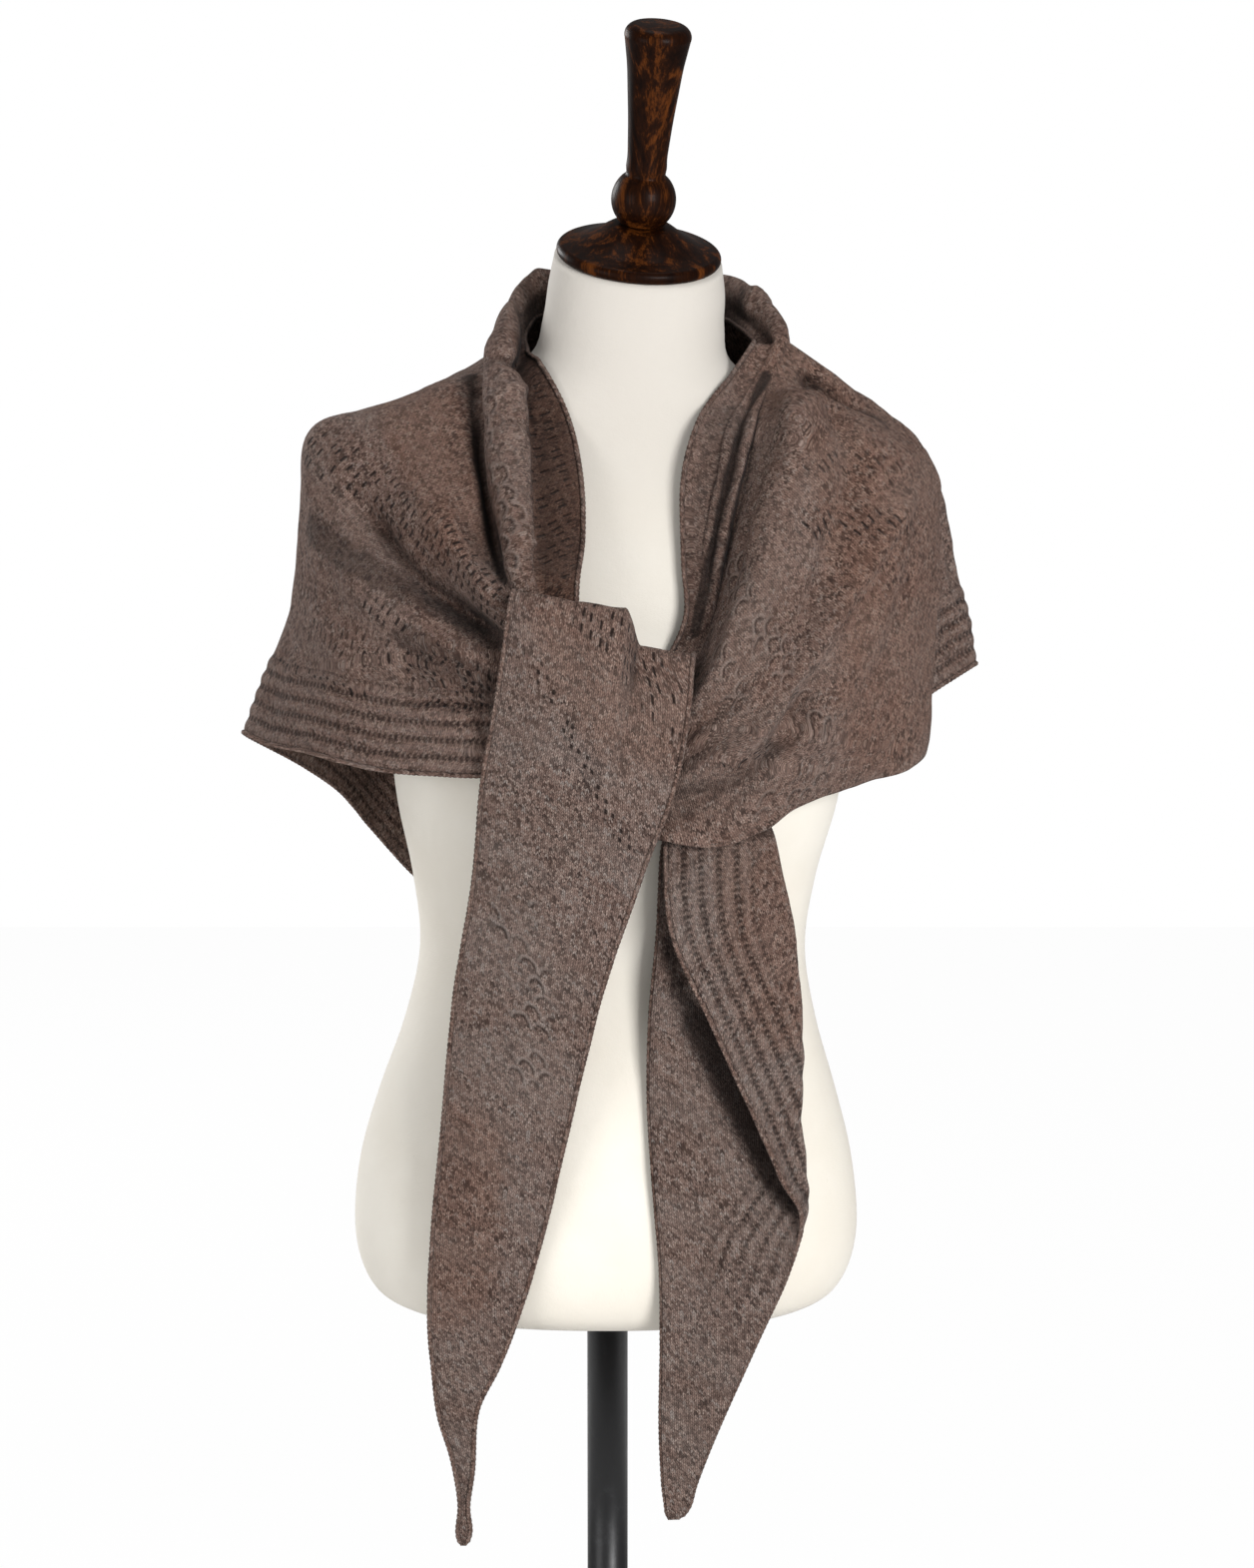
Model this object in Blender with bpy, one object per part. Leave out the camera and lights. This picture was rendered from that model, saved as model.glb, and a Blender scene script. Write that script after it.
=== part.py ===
"""Knitted scarf tied on a limbless dress form, with the form's turned neck cap and counter stand.

Metres, +Z up, origin at the centre of the stand's underside. The form faces -Y, so the
wearer's right side is at -X. The tables are in millimetres, with heights above the form's
underside, and at() turns their points into world points.
"""
import math
from collections import namedtuple

import bpy
import bmesh
from mathutils import Euler, Vector
from mathutils.bvhtree import BVHTree

MM = 0.001

# Driving sizes, in millimetres.
FORM_LIFT = 275          # from the counter to the form's underside
WALL = 2.5               # thickness of the knitted cloth
SEAM = 0.3               # gap between two stretches of cloth
FORM_GAP = 0.8           # gap between the cloth and the form, where it rests
LAYER_GAP = 0.9          # gap between cloth and the cloth that it lies over
RIB_PITCH = 11.5         # from one ridge of the knitted border to the next
RIB_HEIGHT = 1.3
RIB_COUNT = 5
FORM_SIDES = 36
NECK_PITCH = 18          # degrees that the neck's top tips to the front
NECK_ROLL = 5            # degrees that it tips to the form's left
CAP_RADIUS = 55
BASE_RADIUS = 138
BASE_HEIGHT = 18
POLE_RADIUS = 14


def at(x, y, h):
    """World point of a place given in millimetres, its height above the form's underside."""
    return Vector((x, y, h + FORM_LIFT)) * MM


# The form: one row for each ring of its outline.
Ring = namedtuple("Ring", "h half_width front back centre tip")
FORM_RINGS = [
    Ring(0, 128, 80, 82, -1, 0),
    Ring(4, 144, 92, 94, -1, 0),
    Ring(14, 159, 104, 106, -1, 0),
    Ring(34, 169, 112, 114, -1, 0),
    Ring(62, 172.5, 115, 120, -1, 0),
    Ring(105, 168, 112, 120, -1, 0),
    Ring(150, 156, 107, 112, 0, 0),
    Ring(200, 140, 99, 96, 2, 0),
    Ring(250, 131, 93, 80, 3.6, 0),
    Ring(300, 137, 101, 82, 5, 0),
    Ring(350, 149, 116, 89, 7, 0),
    Ring(400, 155, 126, 93, 8, 0),
    Ring(440, 158, 124, 97, 8.5, 0),
    Ring(480, 162, 108, 99, 9, 0),
    Ring(520, 171, 92, 99, 9.5, 0),
    Ring(555, 184, 78, 92, 10, 0),
    Ring(580, 190, 67, 81, 10, 0),
    Ring(598, 177, 61, 75, 11, 0),
    Ring(613, 143, 58, 70, 12, 0.1),
    Ring(627, 98, 56, 66, 14, 0.22),
    Ring(646, 67, 55, 61, 16, 0.42),
    Ring(670, 60.5, 54, 56, 18, 0.7),
    Ring(692, 59, 53, 54, 20, 0.9),
    Ring(711, 56, 52, 52, 21, 1.0),
]
ROUNDNESS = 2.25         # 2 is an ellipse, and more is squarer


def rounded(angle, half_width, depth):
    """Point of a squared ellipse at an angle from +X."""
    c, s = math.cos(angle), math.sin(angle)
    x = math.copysign(abs(c) ** (2 / ROUNDNESS), c) * half_width
    y = math.copysign(abs(s) ** (2 / ROUNDNESS), s) * depth
    return x, y


def form_ring(ring):
    """Points of one ring, tipped with the neck's top by its share, tip."""
    turn = Euler((math.radians(NECK_PITCH * ring.tip),
                  math.radians(NECK_ROLL * ring.tip), 0))
    points = []
    for k in range(FORM_SIDES):
        angle = 2 * math.pi * k / FORM_SIDES
        depth = ring.back if math.sin(angle) > 0 else ring.front
        x, y = rounded(angle, ring.half_width, depth)
        place = turn.to_matrix() @ Vector((x, y, 0))
        points.append(at(ring.centre + place.x, place.y, ring.h + place.z))
    return points


def material(name, colour, roughness, metallic=0.0):
    found = bpy.data.materials.get(name)
    if found:
        return found
    made = bpy.data.materials.new(name)
    made.use_nodes = True
    shader = made.node_tree.nodes["Principled BSDF"]
    shader.inputs["Base Color"].default_value = (*colour, 1)
    shader.inputs["Roughness"].default_value = roughness
    shader.inputs["Metallic"].default_value = metallic
    return made


def knit():
    return material("taupe_knit", (0.135, 0.098, 0.082), 0.95)


def jersey():
    return material("ivory_jersey", (0.84, 0.79, 0.71), 0.85)


def walnut():
    return material("walnut_stain", (0.055, 0.020, 0.010), 0.35)


def dark_steel():
    return material("dark_steel", (0.035, 0.035, 0.037), 0.4, 1.0)


def add_object(name, points, faces, look, smooth=True):
    mesh = bpy.data.meshes.new(name)
    mesh.from_pydata(points, [], faces)
    mesh.validate()
    body = bmesh.new()
    body.from_mesh(mesh)
    bmesh.ops.recalc_face_normals(body, faces=body.faces)
    body.to_mesh(mesh)
    body.free()
    for face in mesh.polygons:
        face.use_smooth = smooth
    mesh.materials.append(look)
    made = bpy.data.objects.new(name, mesh)
    bpy.context.scene.collection.objects.link(made)
    return made


def stacked(name, rings, look, smooth=True):
    """Closed solid through rings of equal length, each end filled from its middle."""
    count = len(rings[0])
    points = [p for ring in rings for p in ring]
    faces = []
    for i in range(len(rings) - 1):
        for k in range(count):
            n = (k + 1) % count
            faces.append((i * count + k, i * count + n, (i + 1) * count + n, (i + 1) * count + k))
    for first, ring in ((0, rings[0]), (len(points) - count, rings[-1])):
        middle = len(points)
        points.append(sum(ring, Vector()) / count)
        faces += [(first + k, first + (k + 1) % count, middle) for k in range(count)]
    return add_object(name, points, faces, look, smooth)


def turned(name, profile, sides, look, place, turn):
    """Solid turned on a lathe from (radius, height) pairs, then placed."""
    rings = []
    for radius, height in profile:
        rings.append([Vector((radius * math.cos(a), radius * math.sin(a), height)) * MM
                      for a in (2 * math.pi * k / sides for k in range(sides))])
    made = stacked(name, rings, look)
    made.location = place
    made.rotation_euler = turn
    return made


def arc(centre_r, centre_h, radius, start, end, steps):
    """Profile points on an arc, angles in degrees from the outward direction."""
    angles = [math.radians(start + (end - start) * k / steps) for k in range(steps + 1)]
    return [(centre_r + radius * math.cos(a), centre_h + radius * math.sin(a)) for a in angles]


def neck_cap():
    """The turned rim and dome that closes the neck."""
    profile = [(46, 0.3)] + arc(CAP_RADIUS - 4.5, 4.8, 4.5, -90, 90, 6)
    profile += [(46, 10.5), (41, 12), (35, 15), (28, 19), (23, 22.5), (19.5, 24.5), (13, 25)]
    return turned("neck_cap", profile, 32, walnut(), *neck_top())


def handle():
    """The turned handle on the cap: a ball, a narrow neck and a long flared grip."""
    profile = [(12, 25.2), (16, 27)] + arc(0, 42, 21.5, -38, 52, 7)
    profile += [(13.5, 64), (13.2, 70), (13.8, 81), (15, 97), (16.8, 115), (18.8, 133.5),
                (20.4, 143), (21.6, 150)]
    profile += arc(14.5, 152, 7.5, 0, 80, 4)
    return turned("handle", profile, 24, walnut(), *neck_top())


def neck_top():
    """Place and turn of the neck's tipped top."""
    top = FORM_RINGS[-1]
    turn = Euler((math.radians(NECK_PITCH), math.radians(NECK_ROLL), 0))
    return at(top.centre, 0, top.h), turn


def form():
    return stacked("torso", [form_ring(ring) for ring in FORM_RINGS], jersey())


def stand():
    base = [(BASE_RADIUS - 2, 0), (BASE_RADIUS, 2), (BASE_RADIUS, BASE_HEIGHT - 5)]
    base += arc(BASE_RADIUS - 5, BASE_HEIGHT - 5, 5, 15, 90, 4)
    base += [(34, BASE_HEIGHT)]
    turned("base", base, 40, walnut(), Vector(), Euler())
    collar = BASE_HEIGHT + 0.2
    pole = [(30, collar), (30, collar + 5), (27, collar + 8), (POLE_RADIUS, collar + 12),
            (POLE_RADIUS, FORM_LIFT - 14), (24, FORM_LIFT - 10), (26, FORM_LIFT - 5),
            (26, FORM_LIFT - 0.3)]
    turned("pole", pole, 20, dark_steel(), Vector(), Euler())


# Curves and walls that the cloth is made with.
def blend(stops, values, t):
    """Smooth curve through values at stops, a Hermite spline with uneven steps."""
    last = len(stops) - 1
    i = max(k for k in range(last) if stops[k] <= t or k == 0)
    span = stops[i + 1] - stops[i]
    s = (t - stops[i]) / span

    def slope(k):
        if k == 0:
            return (values[1] - values[0]) / (stops[1] - stops[0])
        if k == last:
            return (values[last] - values[last - 1]) / (stops[last] - stops[last - 1])
        before, after = stops[k] - stops[k - 1], stops[k + 1] - stops[k]
        return ((values[k] - values[k - 1]) * (after / before)
                + (values[k + 1] - values[k]) * (before / after)) / (before + after)

    h00, h10 = 2 * s ** 3 - 3 * s ** 2 + 1, s ** 3 - 2 * s ** 2 + s
    h01, h11 = -2 * s ** 3 + 3 * s ** 2, s ** 3 - s ** 2
    return (values[i] * h00 + slope(i) * (h10 * span)
            + values[i + 1] * h01 + slope(i + 1) * (h11 * span))


def steps(counts):
    """Stops from 0 to the number of spans, with the given number of steps in each."""
    stops = [0.0]
    for span, count in enumerate(counts):
        stops += [span + (k + 1) / count for k in range(count)]
    return stops


def normals(grid):
    """Outward directions of a grid's points, rows run down and columns to its left."""
    rows, columns = len(grid), len(grid[0])
    found = []
    for i in range(rows):
        line = []
        for j in range(columns):
            down = grid[min(i + 1, rows - 1)][j] - grid[max(i - 1, 0)][j]
            across = grid[i][min(j + 1, columns - 1)] - grid[i][max(j - 1, 0)]
            line.append(down.cross(across).normalized())
        found.append(line)
    return found


def clear_of(grid, tree, depth):
    """Points moved out until they are depth away from a closed solid."""
    moved = []
    for row in grid:
        line = []
        for p in row:
            spot, normal, _, _ = tree.find_nearest(p)
            away = (p - spot).dot(normal)
            line.append(p + normal * (depth - away) if away < depth else p)
        moved.append(line)
    return moved


def in_front_of(grid, trees, depth):
    """Points moved to the front until they are depth before what lies behind them."""
    reach = 0.3
    moved = []
    for row in grid:
        line = []
        for p in row:
            y = p.y
            for tree in trees:
                spot, _, _, _ = tree.ray_cast(Vector((p.x, p.y - reach, p.z)), Vector((0, 1, 0)),
                                              reach + 0.05)
                if spot is not None:
                    y = min(y, spot.y - depth)
            line.append(Vector((p.x, y, p.z)))
        moved.append(line)
    return moved


def tree_of(thing):
    mesh = thing.data
    return BVHTree.FromPolygons([thing.matrix_basis @ v.co for v in mesh.vertices],
                                [tuple(f.vertices) for f in mesh.polygons])


def wall_solid(name, outer, inner):
    """Closed wall between two grids of the same size, with flat rims."""
    rows, columns = len(outer), len(outer[0])
    points = [p for row in outer for p in row] + [p for row in inner for p in row]
    half = rows * columns
    faces = []
    for i in range(rows - 1):
        for j in range(columns - 1):
            a, b = i * columns + j, (i + 1) * columns + j
            faces.append((a, b, b + 1, a + 1))
            faces.append((half + a, half + a + 1, half + b + 1, half + b))
    rim = [i * columns for i in range(rows)]
    rim += [(rows - 1) * columns + j for j in range(1, columns)]
    rim += [i * columns + columns - 1 for i in range(rows - 2, -1, -1)]
    rim += list(range(columns - 2, 0, -1))
    for a, b in zip(rim, rim[1:] + rim[:1]):
        if a > b:     # both sides of a seam split each rim face the same way
            faces += [(b, a, half + b), (a, half + a, half + b)]
        else:
            faces += [(b, a, half + a), (b, half + a, half + b)]
    return add_object(name, points, faces, knit())


def cut_out(grid, guide, first_row, last_row, first_column, last_column):
    """Part of a grid, each edge where the guide grid goes on moved in by half a seam."""
    part = [list(row[first_column:last_column + 1]) for row in grid[first_row:last_row + 1]]
    half_seam = SEAM / 2 * MM
    rows, columns = len(guide) - 1, len(guide[0]) - 1
    for i, row in enumerate(part, first_row):
        for j in range(first_column, last_column + 1):
            move = Vector()
            if i == first_row > 0 or i == last_row < rows:
                step = (guide[i + 1][j] - guide[i - 1][j]).normalized() * half_seam
                move += step if i == first_row else -step
            if j == first_column > 0 or j == last_column < columns:
                step = (guide[i][j + 1] - guide[i][j - 1]).normalized() * half_seam
                move += step if j == first_column else -step
            row[j - first_column] = row[j - first_column] + move
    return part


# The worn part of the scarf. It is one cloth, cut up below into the stretches that show.
# Each station is a line over the cloth from its neck edge to its hem. The stations run
# from the knot over the wearer's right shoulder, round the back, to the knot again.
#
# Collar columns: the foot of the collar (x, y, h); heading, the direction from there to the
# neck, in degrees from +X; lean, how far the collar's outward direction points up, in
# degrees; the roll's width and height; the inner flap's width, and how far it stands out.
Collar = namedtuple("Collar", "name x y h heading lean roll_width roll_height flap flap_out")
COLLAR = [
    Collar("under_band_right", -45, -141, 478, 0, 10, 14, 1, 12, 0.2),
    Collar("band_edge_right", -62, -138, 508, 4, 10, 18, 11, 26, 0),
    Collar("breast_right", -69, -108, 533, 2, 12, 23, 30, 31, 6),
    Collar("chest_right", -77, -82, 569, 0, 14, 29, 33, 32, 6),
    Collar("collarbone_right", -80, -56, 604, 0, 20, 30, 34, 26, 7),
    Collar("neck_right", -82, -28, 634, 0, 42, 24, 30, 18, 8),
    Collar("shoulder_right", -78, -2, 644, 0, 64, 20, 29, 5, 8),
    Collar("back_right", -68, 34, 656, -35, 80, 18, 32, 1, 9),
    Collar("nape_right", -50, 67, 664, -62, 86, 20, 38, 1, 10),
    Collar("nape", 16, 86, 664, -90, 86, 23, 40, 1, 10),
    Collar("nape_left", 82, 68, 664, -124, 86, 21, 37, 1, 9),
    Collar("back_left", 105, 38, 660, -148, 84, 17, 31, 3, 6),
    Collar("wing", 119, 14, 655, -168, 76, 15, 23, 6, 2),
    Collar("fold", 122, 0, 655, -176, 60, 14, 13, 12, -1),
    Collar("shoulder_left", 121, -14, 655, -180, 34, 12, 6, 12, 2),
    Collar("neck_left", 111, -32, 633, 180, 14, 15, 4, 15, 3),
    Collar("collarbone_left", 98, -62, 608, 180, 12, 18, 4, 19, 3),
    Collar("chest_left", 90, -80, 570, 180, 10, 20, 4, 20, 3),
    Collar("breast_left", 78, -98, 520, 180, 10, 16, 3, 12, 2),
    Collar("band_edge_left", 69, -115, 482, 180, 10, 12, 1, 6, 1),
    Collar("under_band_left", 50, -129, 444, 180, 10, 12, 1, 6, 1),
]
# Panel columns, each a point (x, y, h) of the station's line below the collar's foot.
Panel = namedtuple("Panel", "name slope bend chest low border hem")
PANEL = [
    Panel("under_band_right", (-45.5, -141, 466), (-46, -142, 452), (-47, -141, 432),
          (-50, -139, 412), (-52, -138, 399), (-54, -137, 388)),
    Panel("band_edge_right", (-61, -144, 490), (-62, -147, 471), (-65, -147, 450),
          (-70, -145, 421), (-74, -143, 401), (-77, -140, 384)),
    Panel("breast_right", (-86, -114, 530), (-102, -119, 508), (-113.5, -122, 478),
          (-125, -123, 438), (-132, -121, 410), (-139, -118, 384)),
    Panel("chest_right", (-93, -92, 566), (-125, -100, 534), (-142, -106, 498),
          (-154, -105, 445), (-163, -102, 412), (-170, -98, 387)),
    Panel("collarbone_right", (-109, -64, 596), (-146, -76, 560), (-166, -84, 515),
          (-179, -83, 460), (-189, -79, 424), (-198, -74, 391)),
    Panel("neck_right", (-120, -36, 622), (-180, -42, 590), (-194, -46, 532),
          (-205, -43, 466), (-217, -39, 426), (-226, -34, 391)),
    Panel("shoulder_right", (-142, -2, 618), (-197, 0, 599), (-206, 2, 548),
          (-214, 5, 482), (-230, 7, 433), (-245, 8, 392)),
    Panel("back_right", (-118, 45, 620), (-170, 60, 592), (-187, 70, 545),
          (-190, 76, 450), (-189, 78, 394), (-188, 78, 344)),
    Panel("nape_right", (-77, 78, 637), (-102, 89, 598), (-115, 102, 540),
          (-121, 111, 420), (-124, 113, 335), (-126, 113, 268)),
    Panel("nape", (14, 92, 640), (10, 99, 598), (5, 109, 530),
          (0, 117, 390), (-6, 120, 285), (-12, 121, 192)),
    Panel("nape_left", (101, 78, 638), (121, 89, 600), (131, 102, 542),
          (138, 111, 448), (142, 113, 384), (144, 113, 328)),
    Panel("back_left", (148, 47, 626), (190, 58, 600), (207, 70, 550),
          (217, 80, 482), (218, 85, 440), (214, 88, 402)),
    Panel("wing", (168, 18, 616), (217, 20, 577), (236, 38, 516),
          (246, 47, 476), (251, 50, 454), (254, 50, 436)),
    Panel("fold", (172, 4, 614), (216, 6, 577), (216, 4, 525),
          (210, 4, 468), (208, 5, 436), (208, 8, 412)),
    Panel("shoulder_left", (180, -8, 614), (218, -10, 575), (222, -16, 536),
          (219.5, -21, 458), (216.5, -22, 391), (206, -13, 398)),
    Panel("neck_left", (156, -44, 617), (199, -50, 582), (209, -56, 534),
          (208, -57, 450), (204, -52, 379), (193, -42, 390)),
    Panel("collarbone_left", (124, -80, 614), (166, -86, 577), (185, -88, 532),
          (189, -87, 446), (176, -77, 374), (165, -66, 386)),
    Panel("chest_left", (101, -112, 556), (127, -126, 520), (141, -130, 485),
          (143, -130, 426), (128, -127, 364), (121, -121, 376)),
    Panel("breast_left", (87, -127, 510), (107, -139, 484), (118, -142, 456),
          (119, -142, 410), (102, -140, 350), (98, -134, 361)),
    Panel("band_edge_left", (73, -139, 474), (87, -149, 451), (95, -152, 426),
          (92, -151, 390), (72, -145, 339), (68, -138.5, 350)),
    Panel("under_band_left", (51, -140, 430), (46, -143, 411), (40, -144, 392),
          (36, -144, 374), (30, -141, 344), (27, -137.5, 352)),
]
# Steps of the grid between one station and the next, from the first to the last.
STATION_STEPS = [2, 3, 2, 2, 2, 2, 3, 3, 4, 4, 3, 3, 3, 3, 2, 2, 2, 3, 2, 2]
COLLAR_STEPS = [1, 1, 1, 1, 1, 1]     # free edge, flap, groove, inner side, crest, outer side, foot
PANEL_ROWS = 14                       # from the collar's foot to the border
BORDER_ROWS = 2 * RIB_COUNT           # in the border, two to each ridge

# Folds of the panels: a line through stops (station, column) on the cloth, its half width
# and its height out of the cloth, which is below 0 for a trough.
Fold = namedtuple("Fold", "line width height")
FOLDS = [
    Fold([(4.6, 2.3), (3.2, 2.4), (2.0, 2.4), (1.0, 2.2)], 12, -13),
    Fold([(3.8, 1.7), (2.2, 1.5), (1.1, 1.3)], 9, 9),
    Fold([(4.6, 3.0), (3.2, 3.2), (1.9, 3.2), (1.0, 3.0)], 13, 8),
    Fold([(2.6, 3.6), (1.6, 4.0), (0.9, 4.0)], 11, -8),
    Fold([(6.9, 2.0), (6.8, 3.4), (6.6, 5.6)], 13, -7),
    Fold([(7.9, 1.8), (7.6, 4.0), (7.4, 6.0)], 17, 7),
    Fold([(8.5, 1.6), (8.3, 4.0), (8.3, 6.0)], 16, -6),
    Fold([(9.3, 2.4), (9.2, 4.4), (9.2, 6.0)], 18, 6),
    Fold([(9.9, 1.8), (9.8, 4.0), (9.8, 6.0)], 16, -6),
    Fold([(10.5, 1.8), (10.5, 4.0), (10.5, 6.0)], 17, 7),
    Fold([(14.6, 0.5), (16.0, 1.1), (17.2, 1.4), (18.3, 1.5), (19.2, 1.7)], 11, 9),
    Fold([(15.0, 0.6), (15.5, 1.2), (16.1, 2.0), (17.0, 2.6), (17.8, 3.0)], 12, -11),
    Fold([(17.2, 3.5), (18.2, 3.75), (19.0, 4.05), (19.6, 4.3), (20, 4.5)], 9, -9),
    Fold([(15.2, 2.6), (16.2, 3.4), (17.2, 4.1), (18.4, 4.3)], 13, 4),
]


def collar_point_row(row):
    """The collar's section at one station, from its free edge to its foot."""
    heading, lean = math.radians(row.heading), math.radians(row.lean)
    across = Vector((math.cos(heading), math.sin(heading), 0))
    out = outward_of(across, row) * math.cos(lean) + Vector((0, 0, math.sin(lean)))
    foot = Vector((row.x, row.y, row.h))

    def place(reach, height):
        return at(*(foot + across * reach + out * height))

    width, height = row.roll_width, row.roll_height
    roll = min(1, height / (0.8 * width))     # 0 for a flat strip, 1 for a full roll

    def share(flat, rolled):
        return flat + (rolled - flat) * roll

    hangs = 1 - min(1, row.flap / 12)         # 0 for a flap that lies flat
    drop = 0.72 * height - row.flap_out
    groove = row.flap_out * 0.3 * (1 - hangs) + (row.flap_out + 0.6 * drop) * hangs
    middle = row.flap_out * 0.65 * (1 - hangs) + (row.flap_out + 0.3 * drop) * hangs
    return [
        place(width + row.flap, row.flap_out),
        place(width + row.flap * 0.5, middle),
        place(width, groove),
        place(width * share(0.80, 0.97), height * share(0.8, 0.72)),
        place(width * share(0.56, 0.52), height),
        place(width * share(0.28, 0.08), height * share(0.8, 0.70)),
        place(0, 0),
    ]


def outward_of(across, row):
    """Level direction away from the body, at right angles to across."""
    sideways = Vector((across.y, -across.x, 0))
    return sideways if sideways.dot(Vector((row.x - 18, row.y - 10, 0))) > 0 else -sideways


def panel_point_row(row):
    return [at(*p) for p in (row.slope, row.bend, row.chest, row.low, row.border, row.hem)]


def surface_point(net, station, column):
    """Point of a net of rows at a station and a column, both in spans."""
    rows = list(range(len(net)))
    columns = list(range(len(net[0])))
    line = [blend(rows, [row[c] for row in net], station) for c in columns]
    return blend(columns, line, column)


def panel_line(net, station):
    """One station's line from the collar's foot to the hem, its last rows evenly spaced
    from the hem up so that each lies on a ridge or a groove of the border."""
    fine = [surface_point(net, station, k * 6 / 90) for k in range(91)]
    length = [0.0]
    for a, b in zip(fine, fine[1:]):
        length.append(length[-1] + (b - a).length)
    border = min(RIB_PITCH * RIB_COUNT * MM, 0.5 * length[-1])
    above = length[-1] - border
    wanted = [above * k / PANEL_ROWS for k in range(1, PANEL_ROWS + 1)]
    wanted += [above + border * k / BORDER_ROWS for k in range(1, BORDER_ROWS + 1)]
    return along(fine, length, wanted)


def along(line, length, wanted):
    """Points at wanted distances along a chain of points with known distances."""
    points = []
    for goal in wanted:
        k = max(i for i in range(len(line) - 1) if length[i] <= goal or i == 0)
        share = (goal - length[k]) / (length[k + 1] - length[k])
        points.append(line[k].lerp(line[k + 1], share))
    return points


def worn_grid():
    """The worn cloth's outer face: stations run across, and rows run down to the hem."""
    collar_net = [collar_point_row(row) for row in COLLAR]
    panel_net = [[c[-1]] + panel_point_row(p) for c, p in zip(collar_net, PANEL)]
    stations = steps(STATION_STEPS)
    grid = [[surface_point(collar_net, station, stop) for station in stations]
            for stop in steps(COLLAR_STEPS)]
    foot = len(grid)
    panels = [panel_line(panel_net, station) for station in stations]
    grid += [list(row) for row in zip(*panels)]
    return folded(grid, panel_net, foot)


def distance_to_line(p, line):
    """Distance from a point to a chain of points, and how far along the chain, 0 to 1."""
    best, along = 1e9, 0
    for k, (a, b) in enumerate(zip(line, line[1:])):
        span = b - a
        t = max(0, min(1, (p - a).dot(span) / span.dot(span)))
        d = (p - (a + span * t)).length
        if d < best:
            best, along = d, (k + t) / (len(line) - 1)
    return best, along


def folded(grid, panel_net, first_row):
    """The grid with each fold of the table raised or sunk, fading at its ends."""
    out = normals(grid)
    lines = []
    for fold in FOLDS:
        count = 4 * (len(fold.line) - 1)
        stops = [k / 4 for k in range(count + 1)]
        path = [Vector((*s, 0)) for s in fold.line]
        knots = list(range(len(path)))
        lines.append([surface_point(panel_net, *blend(knots, path, t).xy) for t in stops])
    moved = [list(row) for row in grid]
    for i in range(first_row, len(grid)):
        for j, p in enumerate(grid[i]):
            for fold, line in zip(FOLDS, lines):
                away, along = distance_to_line(p, line)
                fade = min(1, 5 * along + 0.15, 4 * (1 - along) + 0.25)
                height = fold.height * math.exp(-(away / (fold.width * MM)) ** 2) * fade
                moved[i][j] = moved[i][j] + out[i][j] * height * MM
    return moved


def border_rib(rows_up):
    """Height of the border's ridges, in metres, at a count of rows up from the hem."""
    return RIB_HEIGHT * MM if rows_up < BORDER_ROWS and rows_up % 2 == 1 else 0


def cloth_faces(grid):
    """The grid's outward directions and its inner face, one wall in."""
    out = normals(grid)
    inner = [[p - n * (WALL * MM) for p, n in zip(row, ways)] for row, ways in zip(grid, out)]
    return out, inner


def column_of(name):
    """Grid column of a station."""
    index = [row.name for row in COLLAR].index(name)
    return sum(STATION_STEPS[:index])


def worn_pieces(form_tree):
    grid = worn_grid()
    depth = (WALL + FORM_GAP) * MM
    for _ in range(3):
        grid = clear_of(grid, form_tree, depth)
    out, inner = cloth_faces(grid)
    foot = sum(COLLAR_STEPS)
    side_right, side_left = column_of("shoulder_right"), column_of("fold") - 1
    nape = column_of("nape")
    last_row, last_column = len(grid) - 1, len(grid[0]) - 1
    ribbed = [list(row) for row in grid]
    for i in range(foot, last_row + 1):
        for j in range(side_left):
            ribbed[i][j] = grid[i][j] + out[i][j] * border_rib(last_row - i)
    seam_row = foot - 1
    pieces = {
        "collar_right": (0, seam_row, 0, nape),
        "collar_left": (0, seam_row, nape, last_column),
        "front_right": (seam_row, last_row, 0, side_right),
        "back": (seam_row, last_row, side_right, side_left),
        "front_left": (seam_row, last_row, side_left, last_column),
    }
    return {name: wall_solid(name, cut_out(ribbed, grid, *span), cut_out(inner, grid, *span))
            for name, span in pieces.items()}


# The end that falls over the knot. Each row is a section across it: its edge to the
# wearer's right and to the wearer's left (x, y, h), how far its middle stands out,
# and the step and drop of the pleat in it.
Band = namedtuple("Band", "right left bulge step drop")
BAND = [
    Band((-56, -152, 499), (55, -130, 457), 5, 8, 24),
    Band((-58, -158, 505), (56, -143, 463), 8, 13, 24),
    Band((-61, -163, 491), (54.5, -153, 452), 8, 14, 18),
    Band((-68, -160, 442), (52, -157, 425), 8, 9, 2),
    Band((-78.5, -152, 383), (43, -155, 376), 8, 3, 0),
    Band((-85, -144, 318), (22, -147, 318), 7, 0, 0),
    Band((-98, -134, 238), (-4, -138, 238), 6, 0, 0),
    Band((-107, -124, 150), (-25, -127, 150), 5, 0, 0),
    Band((-114, -119, 81), (-41, -122, 81), 4, 0, 0),
    Band((-117, -117, 26), (-57, -118, 26), 3, 0, 0),
    Band((-115, -115, -16), (-72, -116, -15), 2, 0, 0),
    Band((-111, -113, -50), (-86, -114, -45), 1, 0, 0),
    Band((-103, -112, -78), (-89, -112, -85), 0, 0, 0),
    Band((-98, -111, -109), (-92.5, -111, -111), 0, 0, 0),
    Band((-99.5, -111, -129), (-91, -111, -128), 0, 0, 0),
    Band((-97.5, -111, -139), (-94, -111, -139), 0, 0, 0),
]
BAND_STEPS = [1, 2, 4, 4, 3, 3, 3, 2, 2, 2, 2, 2, 2, 1, 1]
BAND_ACROSS = [0, 0.12, 0.25, 0.38, 0.5, 0.6, 0.64, 0.71, 0.8, 0.9, 1]
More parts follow.
